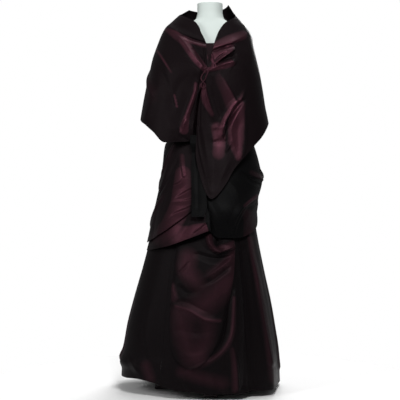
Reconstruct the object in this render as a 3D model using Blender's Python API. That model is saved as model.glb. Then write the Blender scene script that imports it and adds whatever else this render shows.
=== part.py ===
"""Evening dress with a wrapped stole, worn by a limbless dress form on a stand. Metres, +Z up.

The origin is at the middle of the stand's foot, on the floor. The front faces -Y, and +X is on the
right as the front is seen. An angle runs round the upright axis: 0 is the front, 90 is +X, 180 is
the back and -90 is -X. Every cloth panel is a thin wall whose outer face is a grid of points
(angle, height, radius), worked out from the tables below.
"""

import math
from collections import namedtuple

import bmesh
import bpy
import numpy as np

# Driving sizes
FORM_BOTTOM = 0.750
BODICE_TOP = 1.363
DROP_WAIST = 0.955
DRAPE_TOP = 1.030
CLOTH = 0.0020
STOLE_CLOTH = 0.0015
SEAM = 0.0004
FORM_GAP = 0.0005
FORM_STEP = 10
SKIRT_STEP = 5
STOLE_COLUMNS = 25
STOLE_ROWS = 18

# Stand
POLE_RADIUS = 0.0125
FLANGE_RADIUS = 0.045
FLANGE_THICK = 0.006
FOOT_WIDTH = 0.052
FOOT_THICK = 0.012
FOOT_FRONT = 0.200
FOOT_BACK = 0.230
FOOT_SIDE = 0.220
REST_GAP = 0.0003

# Outer faces: how far a surface reaches from the axis to each side, at each height
Section = namedtuple("Section", "height left right front back")
FORM = (
    Section(1.535, 0.0510, 0.0510, 0.0480, 0.0560),
    Section(1.500, 0.0505, 0.0505, 0.0495, 0.0535),
    Section(1.475, 0.0560, 0.0560, 0.0560, 0.0590),
    Section(1.455, 0.0840, 0.0840, 0.0650, 0.0660),
    Section(1.438, 0.1180, 0.1180, 0.0730, 0.0720),
    Section(1.420, 0.1460, 0.1460, 0.0800, 0.0760),
    Section(1.400, 0.1625, 0.1625, 0.0870, 0.0790),
    Section(1.363, 0.1630, 0.1630, 0.0975, 0.0825),
    Section(1.320, 0.1570, 0.1570, 0.1110, 0.0870),
    Section(1.280, 0.1500, 0.1500, 0.1270, 0.0920),
    Section(1.240, 0.1450, 0.1450, 0.1330, 0.0950),
    Section(1.190, 0.1380, 0.1380, 0.1200, 0.0950),
    Section(1.130, 0.1230, 0.1230, 0.0990, 0.0910),
    Section(1.060, 0.1150, 0.1150, 0.0870, 0.0870),
    Section(1.010, 0.1300, 0.1300, 0.0920, 0.0920),
    Section(0.955, 0.1480, 0.1480, 0.1030, 0.0990),
    Section(0.900, 0.1570, 0.1570, 0.1080, 0.1080),
    Section(0.850, 0.1600, 0.1600, 0.1100, 0.1140),
    Section(0.800, 0.1560, 0.1560, 0.1060, 0.1140),
    Section(0.750, 0.1430, 0.1430, 0.0970, 0.1050),
)
FORM_SQUARENESS = 2.25

SKIRT = (
    Section(0.955, 0.1505, 0.1505, 0.1055, 0.1015),
    Section(0.900, 0.1650, 0.1610, 0.1170, 0.1150),
    Section(0.850, 0.1780, 0.1650, 0.1280, 0.1280),
    Section(0.800, 0.1880, 0.1690, 0.1400, 0.1420),
    Section(0.735, 0.2040, 0.1740, 0.1570, 0.1620),
    Section(0.670, 0.2210, 0.1800, 0.1750, 0.1840),
    Section(0.600, 0.2400, 0.1910, 0.1920, 0.2060),
    Section(0.550, 0.2540, 0.2000, 0.2030, 0.2200),
    Section(0.447, 0.2830, 0.2200, 0.2210, 0.2470),
    Section(0.351, 0.3100, 0.2400, 0.2350, 0.2700),
    Section(0.255, 0.3350, 0.2560, 0.2470, 0.2900),
    Section(0.160, 0.3530, 0.2690, 0.2570, 0.3050),
    Section(0.118, 0.3690, 0.2720, 0.2600, 0.3100),
    Section(0.090, 0.3600, 0.2740, 0.2620, 0.3140),
    Section(0.010, 0.3620, 0.2770, 0.2640, 0.3200),
)
SKIRT_SQUARENESS = 2.15

OVERSKIRT = (
    Section(1.030, 0.1560, 0.1500, 0.1250, 0.1200),
    Section(0.959, 0.1820, 0.1790, 0.1450, 0.1300),
    Section(0.895, 0.1890, 0.1970, 0.1580, 0.1420),
    Section(0.831, 0.1970, 0.2090, 0.1740, 0.1560),
    Section(0.767, 0.2090, 0.1960, 0.1960, 0.1720),
    Section(0.703, 0.2250, 0.1870, 0.2200, 0.1880),
    Section(0.639, 0.2390, 0.1920, 0.2380, 0.2080),
    Section(0.540, 0.2610, 0.2080, 0.2500, 0.2300),
)

STOLE = (
    Section(1.535, 0.0720, 0.0740, 0.0640, 0.0700),
    Section(1.515, 0.0900, 0.0850, 0.0700, 0.0740),
    Section(1.495, 0.1140, 0.0960, 0.0770, 0.0770),
    Section(1.463, 0.1500, 0.1240, 0.0870, 0.0820),
    Section(1.431, 0.1820, 0.1500, 0.0980, 0.0850),
    Section(1.399, 0.1980, 0.1650, 0.1110, 0.0820),
    Section(1.351, 0.2160, 0.1750, 0.1330, 0.0860),
    Section(1.311, 0.2300, 0.1850, 0.1500, 0.0910),
    Section(1.250, 0.2430, 0.1990, 0.1640, 0.1040),
    Section(1.183, 0.2580, 0.2110, 0.1660, 0.1140),
    Section(1.119, 0.2700, 0.2210, 0.1650, 0.1240),
    Section(1.060, 0.2790, 0.2330, 0.1660, 0.1350),
    Section(0.980, 0.2850, 0.2420, 0.1720, 0.1450),
    Section(0.900, 0.2880, 0.2450, 0.1850, 0.1500),
    Section(0.840, 0.2880, 0.2450, 0.1960, 0.1500),
    Section(0.755, 0.2880, 0.2450, 0.2180, 0.1500),
)
STOLE_SQUARENESS = 2.5

# A fold is a ridge (height above 0) or a trough (below 0) along a bowed line on the cloth
Fold = namedtuple("Fold", "from_angle from_height to_angle to_height bow width rise")
FLAT_RADIUS = 0.22

# The skirt's flutes run down it and grow towards the hem
Flute = namedtuple("Flute", "angle lean width depth")
SKIRT_FLUTES = (
    Flute(-113, -4, 11, 0.034),
    Flute(-92, 2, 9, -0.016),
    Flute(-66, -2, 12, 0.003),
    Flute(-42, 0, 9, -0.008),
    Flute(24, -2, 7, 0.010),
    Flute(33, 5, 6, -0.020),
    Flute(47, 9, 7, 0.012),
    Flute(78, 3, 12, -0.008),
    Flute(104, 2, 10, 0.014),
    Flute(128, 2, 11, -0.018),
    Flute(150, 0, 11, 0.020),
    Flute(171, 0, 9, -0.018),
    Flute(-166, 0, 11, 0.022),
    Flute(-140, -2, 11, -0.018),
)
FLUTE_START = 0.86
FLUTE_FULL = 0.10

HemRow = namedtuple("HemRow", "angle height")
SKIRT_HEM = (
    HemRow(-180, 0.030),
    HemRow(-150, 0.050),
    HemRow(-115, 0.080),
    HemRow(-88, 0.062),
    HemRow(-70, 0.063),
    HemRow(-58, 0.067),
    HemRow(-46, 0.058),
    HemRow(-36, 0.042),
    HemRow(-25, 0.035),
    HemRow(-13, 0.030),
    HemRow(-4, 0.025),
    HemRow(36, 0.025),
    HemRow(63, 0.023),
    HemRow(84, 0.017),
    HemRow(140, 0.024),
    HemRow(180, 0.030),
)

# Edges of the pieces that lie over others, as angle and height along each edge
Edge = namedtuple("Edge", "along angle height")
DRAPE_UPPER_HEM = (
    Edge(0.00, -8, 0.765),
    Edge(0.10, -17, 0.718),
    Edge(0.30, -31, 0.672),
    Edge(0.55, -52, 0.620),
    Edge(0.80, -84, 0.583),
    Edge(1.00, -118, 0.590),
)
DRAPE_LOWER_HEM = (
    Edge(0.00, -2, 0.634),
    Edge(0.25, -24, 0.600),
    Edge(0.50, -46, 0.571),
    Edge(0.80, -84, 0.552),
    Edge(1.00, -116, 0.560),
)
DRAPE_LOWER_TOP = 0.790
DRAPE_FREE = 100
DRAPE_SEWN = 115
DRAPE_UPPER_FOLDS = (
    Fold(-6, 0.860, -34, 0.800, 0.004, 0.012, 0.006),
    Fold(-8, 0.832, -44, 0.752, 0.006, 0.010, 0.007),
    Fold(-8, 0.806, -50, 0.706, 0.008, 0.010, -0.006),
    Fold(-8, 0.785, -50, 0.680, 0.004, 0.010, 0.007),
    Fold(-34, 0.960, -36, 0.870, 0.000, 0.014, 0.005),
    Fold(-50, 0.880, -80, 0.730, 0.000, 0.014, -0.006),
    Fold(-58, 0.960, -90, 0.800, 0.000, 0.016, 0.005),
)
DRAPE_LOWER_FOLDS = (
    Fold(-6, 0.672, -26, 0.628, -0.004, 0.010, -0.005),
    Fold(-20, 0.690, -48, 0.610, 0.000, 0.014, 0.006),
)

POUF_HEM = (
    Edge(0.00, -1, 0.640),
    Edge(0.15, 12, 0.616),
    Edge(0.35, 30, 0.610),
    Edge(0.55, 48, 0.622),
    Edge(0.72, 70, 0.650),
    Edge(0.86, 90, 0.690),
    Edge(1.00, 118, 0.720),
)
POUF_FOLDS = (
    Fold(42, 0.868, 96, 0.822, 0.000, 0.013, 0.018),
    Fold(44, 0.840, 88, 0.805, 0.000, 0.012, -0.008),
    Fold(46, 0.700, 84, 0.770, 0.004, 0.009, 0.011),
    Fold(46, 0.680, 82, 0.748, 0.004, 0.009, -0.009),
    Fold(62, 0.660, 84, 0.732, 0.000, 0.010, 0.006),
)
POUF_BULGE = 0.020
POUF_FREE = 100
POUF_SEWN = 116
POUF_CENTRE_ANGLE = 30
POUF_CENTRE_HEIGHT = 0.690

SWAG_HEM = (
    Edge(0.00, -37, 0.430),
    Edge(0.10, -34, 0.235),
    Edge(0.22, -30, 0.170),
    Edge(0.36, -23, 0.133),
    Edge(0.50, -15, 0.118),
    Edge(0.64, -5, 0.145),
    Edge(0.76, 3, 0.196),
    Edge(0.86, 9, 0.262),
    Edge(0.94, 17, 0.400),
    Edge(1.00, 23, 0.560),
)
SWAG_TOP = 0.655
SWAG_FOLDS = (
    Fold(-2, 0.620, 3, 0.566, -0.006, 0.008, 0.013),
    Fold(3, 0.560, 21, 0.596, -0.008, 0.008, 0.013),
    Fold(21, 0.585, 2, 0.478, 0.012, 0.016, 0.010),
    Fold(20, 0.545, -14, 0.455, 0.028, 0.014, -0.008),
    Fold(-30, 0.372, 8, 0.300, 0.020, 0.012, 0.010),
    Fold(-30, 0.345, 8, 0.272, 0.020, 0.014, -0.007),
    Fold(-33, 0.440, -28, 0.370, 0.004, 0.010, 0.008),
    Fold(-24, 0.540, -16, 0.470, 0.006, 0.014, 0.006),
)

STOLE_LEFT_TOP = (
    Edge(0.00, -2.4, 1.262),
    Edge(0.08, -4.5, 1.320),
    Edge(0.16, -8.5, 1.366),
    Edge(0.26, -19, 1.405),
    Edge(0.36, -38, 1.442),
    Edge(0.47, -68, 1.478),
    Edge(0.58, -92, 1.494),
    Edge(0.70, -114, 1.517),
    Edge(1.00, -180, 1.512),
)
STOLE_LEFT_HEM = (
    Edge(0.00, -4.4, 1.236),
    Edge(0.10, -19.4, 1.115),
    Edge(0.20, -23.5, 0.984),
    Edge(0.28, -32, 0.976),
    Edge(0.38, -50, 0.973),
    Edge(0.45, -61.5, 1.017),
    Edge(0.52, -74, 1.053),
    Edge(0.62, -92, 1.077),
    Edge(0.75, -122, 1.085),
    Edge(1.00, -180, 1.060),
)
STOLE_RIGHT_TOP = (
    Edge(0.00, -2.1, 1.262),
    Edge(0.08, 3.0, 1.320),
    Edge(0.16, 7.5, 1.364),
    Edge(0.26, 17, 1.398),
    Edge(0.36, 34, 1.432),
    Edge(0.46, 62, 1.466),
    Edge(0.56, 86, 1.500),
    Edge(0.66, 104, 1.534),
    Edge(0.80, 140, 1.524),
    Edge(1.00, 180, 1.512),
)
STOLE_RIGHT_HEM = (
    Edge(0.000, -4.1, 1.236),
    Edge(0.050, -12.5, 1.160),
    Edge(0.100, -17.0, 1.060),
    Edge(0.145, -17.8, 0.942),
    Edge(0.180, -11.9, 0.846),
    Edge(0.214, 0.6, 0.755),
    Edge(0.250, 14.6, 0.804),
    Edge(0.300, 27, 0.872),
    Edge(0.360, 35.5, 0.905),
    Edge(0.460, 56, 0.980),
    Edge(0.580, 80, 1.052),
    Edge(0.700, 110, 1.075),
    Edge(1.000, 180, 1.060),
)
# Pleats fan out of the pinch: across is the share of the way from top edge to hem
Pleat = namedtuple("Pleat", "across width rise reach")
LEFT_PLEATS = (
    Pleat(0.10, 0.050, 0.008, 0.34),
    Pleat(0.21, 0.055, -0.006, 0.30),
    Pleat(0.34, 0.065, 0.012, 0.46),
    Pleat(0.52, 0.075, -0.008, 0.42),
    Pleat(0.90, 0.060, 0.012, 0.30),
)
RIGHT_PLEATS = (
    Pleat(0.07, 0.040, 0.008, 0.40),
    Pleat(0.15, 0.035, -0.006, 0.34),
    Pleat(0.23, 0.038, 0.009, 0.32),
    Pleat(0.31, 0.035, -0.007, 0.32),
    Pleat(0.39, 0.038, 0.009, 0.34),
    Pleat(0.48, 0.040, -0.008, 0.34),
    Pleat(0.58, 0.048, 0.010, 0.36),
    Pleat(0.84, 0.070, 0.008, 0.34),
)
STOLE_FOLDS = (
    Fold(-104, 1.300, -66, 1.170, 0.006, 0.014, 0.008),
    Fold(-62, 1.170, -52, 1.080, 0.000, 0.010, 0.006),
    Fold(-20, 1.150, -28, 0.990, 0.000, 0.010, 0.008),
    Fold(88, 1.420, 118, 1.260, 0.000, 0.018, 0.006),
    Fold(-150, 1.300, -140, 1.080, 0.010, 0.024, 0.010),
    Fold(152, 1.300, 146, 1.080, -0.010, 0.024, 0.010),
    Fold(-12, 1.200, 4, 1.080, 0.000, 0.009, 0.008),
    Fold(52, 1.150, 12, 1.000, 0.004, 0.010, 0.009),
    Fold(54, 1.122, 16, 0.982, 0.004, 0.009, -0.013),
    Fold(2, 1.000, 20, 1.006, 0.004, 0.008, 0.005),
)

# The stole's left end: its side edges as angles at each height, and its reach from the axis
EndRow = namedtuple("EndRow", "height left right reach")
STOLE_END = (
    EndRow(1.000, -24.0, -12.0, 0.1680),
    EndRow(0.940, -24.0, -11.0, 0.1720),
    EndRow(0.860, -23.0, -9.5, 0.1860),
    EndRow(0.790, -21.0, -7.0, 0.2080),
    EndRow(0.730, -18.5, -6.0, 0.2320),
    EndRow(0.700, -13.0, -8.0, 0.2430),
)
STOLE_END_FOLDS = (Fold(-17, 0.990, -12, 0.710, 0.000, 0.008, 0.005),)

# The slit loop below the pinch, through which the stole's end is pulled
LOOP_CENTRE = (-0.0190, -0.1740, 1.2200)
LOOP_HALF_WIDTH = 0.0125
LOOP_HALF_HEIGHT = 0.0215
LOOP_BAND = 0.0045

Finish = namedtuple("Finish", "colour roughness metallic")
FINISHES = {
    "taffeta": Finish((0.045, 0.008, 0.014), 0.38, 0.0),
    "form_cover": Finish((0.80, 0.84, 0.82), 0.55, 0.0),
    "stand_metal": Finish((0.030, 0.022, 0.024), 0.42, 0.8),
}


def column(rows, key, name, at):
    """A table's column, read smoothly at any value of its key column."""
    keys = np.array([getattr(row, key) for row in rows], float)
    values = np.array([getattr(row, name) for row in rows], float)
    order = np.argsort(keys)
    keys, values = keys[order], values[order]
    steps = np.diff(keys)
    slopes = np.diff(values) / steps
    tangents = np.empty(len(keys))
    tangents[0], tangents[-1] = slopes[0], slopes[-1]
    turning = slopes[:-1] * slopes[1:] <= 0
    weight = steps[1:] + 2 * steps[:-1], 2 * steps[1:] + steps[:-1]
    with np.errstate(divide="ignore", invalid="ignore"):
        mean = (weight[0] + weight[1]) / (weight[0] / slopes[:-1] + weight[1] / slopes[1:])
    tangents[1:-1] = np.where(turning, 0.0, mean)
    at = np.clip(np.asarray(at, float), keys[0], keys[-1])
    k = np.clip(np.searchsorted(keys, at) - 1, 0, len(steps) - 1)
    t = (at - keys[k]) / steps[k]
    return (
        values[k] * (1 + 2 * t) * (1 - t) ** 2
        + values[k + 1] * t * t * (3 - 2 * t)
        + tangents[k] * steps[k] * t * (1 - t) ** 2
        + tangents[k + 1] * steps[k] * t * t * (t - 1)
    )


def rounded(angle, side, depth, squareness):
    """Radius of a rounded section whose half sizes are side (along X) and depth (along Y)."""
    a = np.radians(angle)
    across = np.abs(np.sin(a)) / side
    along = np.abs(np.cos(a)) / depth
    return (across**squareness + along**squareness) ** (-1 / squareness)


def reach(rows, squareness, angle, height):
    """Radius of a section table's outer face."""
    wrapped = (np.asarray(angle, float) + 180) % 360 - 180
    side = np.where(
        wrapped < 0,
        column(rows, "height", "left", height),
        column(rows, "height", "right", height),
    )
    depth = np.where(
        np.abs(wrapped) < 90,
        column(rows, "height", "front", height),
        column(rows, "height", "back", height),
    )
    return rounded(wrapped, side, depth, squareness)


def place(angle, radius, height):
    """Points at an angle, a radius and a height."""
    a = np.radians(angle)
    return np.stack(
        [radius * np.sin(a), -radius * np.cos(a), np.broadcast_to(height, np.shape(radius))],
        axis=-1,
    )


def fold_rise(folds, angle, height):
    """How far the folds lift the cloth: each is a soft ridge round a bowed line, fading past its ends."""
    across = np.radians(angle) * FLAT_RADIUS
    rise = np.zeros(np.shape(across))
    for fold in folds:
        start = np.array([math.radians(fold.from_angle) * FLAT_RADIUS, fold.from_height])
        end = np.array([math.radians(fold.to_angle) * FLAT_RADIUS, fold.to_height])
        length = float(np.linalg.norm(end - start))
        run = (end - start) / length
        along = ((across - start[0]) * run[0] + (height - start[1]) * run[1]) / length
        off = (height - start[1]) * abs(run[0]) - (across - start[0]) * run[1] * np.sign(run[0] or 1)
        inside = np.clip(along, 0, 1)
        off = off + 4 * fold.bow * inside * (1 - inside)
        past = np.maximum(0, np.abs(along - 0.5) - 0.42) * length
        rise = rise + fold.rise * np.exp(-((off / fold.width) ** 2) - (past / (1.6 * fold.width)) ** 2)
    return rise


def smooth_step(low, high, at):
    """0 below low, 1 above high, and a smooth ramp between them."""
    t = np.clip((np.asarray(at, float) - low) / (high - low), 0, 1)
    return t * t * (3 - 2 * t)


def material(name):
    """The one material of a finish, made when first asked for."""
    found = bpy.data.materials.get(name)
    if found:
        return found
    finish = FINISHES[name]
    made = bpy.data.materials.new(name)
    made.use_nodes = True
    shader = made.node_tree.nodes["Principled BSDF"]
    shader.inputs["Base Color"].default_value = (*finish.colour, 1)
    shader.inputs["Roughness"].default_value = finish.roughness
    shader.inputs["Metallic"].default_value = finish.metallic
    return made


def add_object(name, mesh, finish):
    mesh.materials.append(material(finish))
    made = bpy.data.objects.new(name, mesh)
    bpy.context.scene.collection.objects.link(made)
    return made


def thinned(outer, thickness):
    """The grid moved in by the thickness, square to the cloth. Rows run down, columns to +angle."""
    down = np.gradient(outer, axis=0)
    across = np.gradient(outer, axis=1)
    normal = np.cross(down, across)
    return outer - normal / np.linalg.norm(normal, axis=-1, keepdims=True) * thickness


def halves(corners):
    """Two triangles for each four-cornered cell, always cut along the same diagonal."""
    a, b, c, d = corners
    return np.concatenate([np.stack([a, b, c], axis=-1), np.stack([a, c, d], axis=-1)]).reshape(-1, 3)


def wall(name, outer, inner, finish="taffeta"):
    """A cloth panel: the outer grid, the inner grid behind it, and a rim round both."""
    rows, columns = outer.shape[:2]
    points = np.concatenate([outer.reshape(-1, 3), inner.reshape(-1, 3)])
    back = rows * columns
    index = np.arange(back).reshape(rows, columns)
    face = halves([index[:-1, :-1], index[1:, :-1], index[1:, 1:], index[:-1, 1:]])
    rim = np.concatenate([index[0], index[1:, -1], index[-1, -2::-1], index[-2:0:-1, 0]])
    ahead = np.roll(rim, -1)
    edge = halves([rim, ahead, ahead + back, rim + back])
    faces = np.concatenate([face, face[:, ::-1] + back, edge])
    mesh = bpy.data.meshes.new(name)
    mesh.from_pydata(points.tolist(), [], faces.tolist())
    mesh.validate()
    mesh.shade_smooth()
    return add_object(name, mesh, finish)


def form_reach(angle, height):
    """Radius of the dress form."""
    return reach(FORM, FORM_SQUARENESS, angle, height)


def bodice_reach(angle, height):
    """Radius of the bodice's outer face."""
    return form_reach(angle, height) + FORM_GAP + CLOTH


def lifted(angle, height, radius, layers, clearance=SEAM + CLOTH, spread=1.5, tall=0.004):
    """The radius, moved out wherever the cloth would come too near to a layer beneath it."""
    for layer in layers:
        for turn in (-spread, 0, spread):
            for shift in (-tall, 0, tall):
                radius = np.maximum(radius, layer(angle + turn, height + shift) + clearance)
    return radius


def make_form():
    """The smooth torso and neck, closed flat at the neck and below the hips."""
    angles = np.arange(0, 360, FORM_STEP)
    heights = np.array([row.height for row in FORM])
    spread = np.broadcast_to(angles[None, :], (len(heights), len(angles)))
    rings = place(spread, form_reach(spread, heights[:, None]), heights[:, None])
    rows, columns = rings.shape[:2]
    index = np.arange(rows * columns).reshape(rows, columns)
    ahead = np.roll(index, -1, axis=1)
    sides = halves([index[:-1], index[1:], ahead[1:], ahead[:-1]])
    faces = sides.tolist() + [index[0].tolist(), index[-1, ::-1].tolist()]
    mesh = bpy.data.meshes.new("form_body")
    mesh.from_pydata(rings.reshape(-1, 3).tolist(), [], faces)
    mesh.validate()
    mesh.shade_smooth()
    mesh.set_sharp_from_angle(angle=math.radians(50))
    add_object("form_body", mesh, "form_cover")


def make_pole():
    """The pole with a round flange at each end, turned from its outline."""
    bottom = FOOT_THICK + REST_GAP
    top = FORM_BOTTOM - REST_GAP
    outline = (
        (0.0, top),
        (FLANGE_RADIUS, top),
        (FLANGE_RADIUS, top - FLANGE_THICK),
        (POLE_RADIUS, top - FLANGE_THICK),
        (POLE_RADIUS, bottom + FLANGE_THICK),
        (FLANGE_RADIUS, bottom + FLANGE_THICK),
        (FLANGE_RADIUS, bottom),
        (0.0, bottom),
    )
    shape = bmesh.new()
    corners = [shape.verts.new((radius, 0, height)) for radius, height in outline]
    edges = [shape.edges.new(pair) for pair in zip(corners, corners[1:])]
    bmesh.ops.spin(
        shape,
        geom=corners + edges,
        cent=(0, 0, 0),
        axis=(0, 0, 1),
        angle=2 * math.pi,
        steps=20,
        use_merge=True,
    )
    bmesh.ops.remove_doubles(shape, verts=shape.verts, dist=1e-5)
    bmesh.ops.recalc_face_normals(shape, faces=shape.faces)
    mesh = bpy.data.meshes.new("stand_pole")
    shape.to_mesh(mesh)
    shape.free()
    mesh.shade_smooth()
    mesh.set_sharp_from_angle(angle=math.radians(40))
    add_object("stand_pole", mesh, "stand_metal")


def make_foot():
    """The flat cross foot: two bars of one plate, drawn as one outline and lifted to its thickness."""
    half = FOOT_WIDTH / 2
    outline = (
        (-half, -FOOT_FRONT),
        (half, -FOOT_FRONT),
        (half, -half),
        (FOOT_SIDE, -half),
        (FOOT_SIDE, half),
        (half, half),
        (half, FOOT_BACK),
        (-half, FOOT_BACK),
        (-half, half),
        (-FOOT_SIDE, half),
        (-FOOT_SIDE, -half),
        (-half, -half),
    )
    shape = bmesh.new()
    face = shape.faces.new([shape.verts.new((x, y, 0)) for x, y in outline])
    lifted = bmesh.ops.extrude_face_region(shape, geom=[face])
    moved = [item for item in lifted["geom"] if isinstance(item, bmesh.types.BMVert)]
    bmesh.ops.translate(shape, verts=moved, vec=(0, 0, FOOT_THICK))
    bmesh.ops.recalc_face_normals(shape, faces=shape.faces)
    mesh = bpy.data.meshes.new("stand_foot")
    shape.to_mesh(mesh)
    shape.free()
    add_object("stand_foot", mesh, "stand_metal")


def seam_trim(angles, radius):
    """Angles of a panel's columns, with half a seam's gap taken off at each end."""
    trimmed = np.array(angles, float)
    half = math.degrees(SEAM / 2 / radius)
    trimmed[0] += half
    trimmed[-1] -= half
    return trimmed


def make_bodice():
    """The strapless bodice, close to the form, in a front and two backs that meet at centre back."""
    heights = np.array([row.height for row in FORM if DROP_WAIST <= row.height <= BODICE_TOP])
    panels = (
        ("bodice_front", -90, 90),
        ("bodice_back_right", 90, 180),
        ("bodice_back_left", 180, 270),
    )
    for name, start, end in panels:
        angles = seam_trim(np.arange(start, end + 1, FORM_STEP), 0.12)
        angles = np.broadcast_to(angles[None, :], (len(heights), len(angles)))
        radius = bodice_reach(angles, heights[:, None])
        outer = place(angles, radius, heights[:, None])
        wall(name, outer, place(angles, radius - CLOTH, heights[:, None]))


def skirt_hem(angle):
    wrapped = (np.asarray(angle, float) + 180) % 360 - 180
    return column(SKIRT_HEM, "angle", "height", wrapped)


def skirt_reach(angle, height):
    """The skirt's outer face: its section table, with flutes that grow from the hip to the hem."""
    radius = reach(SKIRT, SKIRT_SQUARENESS, angle, height)
    growth = smooth_step(0, 1, (FLUTE_START - height) / (FLUTE_START - FLUTE_FULL))
    for flute in SKIRT_FLUTES:
        middle = flute.angle + flute.lean * growth
        off = (np.asarray(angle, float) - middle + 180) % 360 - 180
        radius = radius + flute.depth * growth * np.exp(-((off / flute.width) ** 2))
    near = form_reach(angle, height) + FORM_GAP + 1.7 * CLOTH
    return np.where(np.asarray(height) > FORM_BOTTOM, np.maximum(radius, near), radius)


def make_skirt():
    """The floor-length skirt in gores, from the dropped waist seam to a slightly uneven hem."""
    gores = (
        ("skirt_front", -40, 35),
        ("skirt_side_right", 35, 110),
        ("skirt_back_right", 110, 180),
        ("skirt_back_left", 180, 250),
        ("skirt_side_left", 250, 320),
    )
    shares = np.linspace(0, 1, 12)
    top = DROP_WAIST - SEAM
    for name, start, end in gores:
        angles = seam_trim(np.arange(start, end + 1, SKIRT_STEP), 0.20)
        hem = skirt_hem(angles)
        heights = top + (hem[None, :] - top) * shares[:, None]
        angles = np.broadcast_to(angles[None, :], heights.shape)
        radius = skirt_reach(angles, heights)
        wall(name, place(angles, radius, heights), place(angles, radius - 1.1 * CLOTH, heights))


def drape_reach(folds, angle, height):
    """The ruched left drape: diagonal folds that fan out from under the stole's end."""
    return reach(OVERSKIRT, SKIRT_SQUARENESS, angle, height) + fold_rise(folds, angle, height)


def sewn_down(angle, height, radius, free, sewn):
    """Brings the radius in to the bodice or skirt beneath: at the waist, and from one angle to the next."""
    under = np.where(height > DROP_WAIST, bodice_reach(angle, height), skirt_reach(angle, height))
    seat = under + CLOTH
    loose = 1 - smooth_step(0, 1, (np.abs(angle) - free) / (sewn - free))
    waist = 1 - smooth_step(0.945, 1.020, height)
    return seat + (radius - seat) * np.minimum(loose, waist)


def drape_lower_reach(angle, height):
    """The lower layer of the left drape lies a finger's breadth under the upper one."""
    radius = drape_reach(DRAPE_LOWER_FOLDS, angle, height) - 0.008
    return sewn_down(angle, height, radius, DRAPE_FREE, DRAPE_SEWN)


def drape_upper_reach(angle, height):
    radius = drape_reach(DRAPE_UPPER_FOLDS, angle, height)
    return sewn_down(angle, height, radius, DRAPE_FREE, DRAPE_SEWN)


def make_drape(name, hem_rows, top, radius_of, layers, columns, rows):
    """One layer of the left overskirt drape, from its top to its rising hem."""
    shares = np.linspace(0, 1, columns)[::-1]
    downs = np.linspace(0, 1, rows)
    angles = column(hem_rows, "along", "angle", shares)
    hem = column(hem_rows, "along", "height", shares)
    heights = top + (hem[None, :] - top) * downs[:, None]
    spread = np.broadcast_to(angles[None, :], heights.shape)
    radius = lifted(spread, heights, radius_of(spread, heights), layers, spread=4.0)
    outer = place(spread, radius, heights)
    wall(name, outer, thinned(outer, CLOTH))


def make_left_drapes():
    make_drape(
        "drape_left_lower",
        DRAPE_LOWER_HEM,
        DRAPE_LOWER_TOP,
        drape_lower_reach,
        (skirt_reach,),
        17,
        8,
    )
    make_drape(
        "drape_left_upper",
        DRAPE_UPPER_HEM,
        DRAPE_TOP,
        drape_upper_reach,
        (bodice_reach, skirt_reach, drape_under),
        19,
        14,
    )


def drape_under(angle, height):
    """The lower drape's outer face where it lies under the upper one, and nothing above it."""
    lower = lifted(angle, height, drape_lower_reach(angle, height), (skirt_reach,), spread=4.0)
    return np.where(height < DRAPE_LOWER_TOP + 0.01, lower, 0.0)


def pouf_reach(angle, height):
    """The pouf: the overskirt's section, swelling out low on the front, with its own folds."""
    radius = reach(OVERSKIRT, SKIRT_SQUARENESS, angle, height)
    radius = radius + fold_rise(POUF_FOLDS, angle, height)
    swell = ((angle - POUF_CENTRE_ANGLE) / 26) ** 2 + ((height - POUF_CENTRE_HEIGHT) / 0.085) ** 2
    return radius + POUF_BULGE * np.exp(-swell)


def make_pouf():
    """The right-hand pouf: a swag that swells out and rolls under at its lower edge."""
    shares = np.linspace(0, 1, 19)
    downs = np.linspace(0, 1, 15)
    angles = column(POUF_HEM, "along", "angle", shares)
    hem = column(POUF_HEM, "along", "height", shares)
    heights = DRAPE_TOP + (hem[None, :] - DRAPE_TOP) * downs[:, None]
    spread = np.broadcast_to(angles[None, :], heights.shape)
    radius = pouf_reach(spread, heights)
    rolled = smooth_step(0.86, 1.0, downs)[:, None]
    under = skirt_reach(spread, heights) + 0.020
    radius = radius + (under - radius) * rolled * 0.75
    radius = sewn_down(spread, heights, radius, POUF_FREE, POUF_SEWN)
    layers = (bodice_reach, skirt_reach)
    radius = lifted(spread, heights, radius, layers, CLOTH + 0.5 * SEAM, spread=1.0)
    outer = place(spread, radius, heights)
    wall("pouf_right", outer, thinned(outer, CLOTH))


def make_swag():
    """The front swag: a ballooned layer caught up at the right, with a rounded lower edge."""
    shares = np.linspace(0, 1, 19)
    downs = np.linspace(0, 1, 15)
    angles = column(SWAG_HEM, "along", "angle", shares)
    hem = column(SWAG_HEM, "along", "height", shares)
    heights = SWAG_TOP + (hem[None, :] - SWAG_TOP) * downs[:, None]
    spread = np.broadcast_to(angles[None, :], heights.shape)
    swell = np.sin(np.pi * shares)[None, :] ** 0.5 * np.sin(np.pi * (0.08 + 0.80 * downs))[:, None]
    radius = skirt_reach(spread, heights) + CLOTH + SEAM + 0.020 * swell
    radius = radius + fold_rise(SWAG_FOLDS, spread, heights) * (0.15 + 0.85 * swell)
    radius = lifted(spread, heights, radius, (skirt_reach,))
    outer = place(spread, radius, heights)
    wall("swag_front", outer, thinned(outer, CLOTH))


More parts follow.
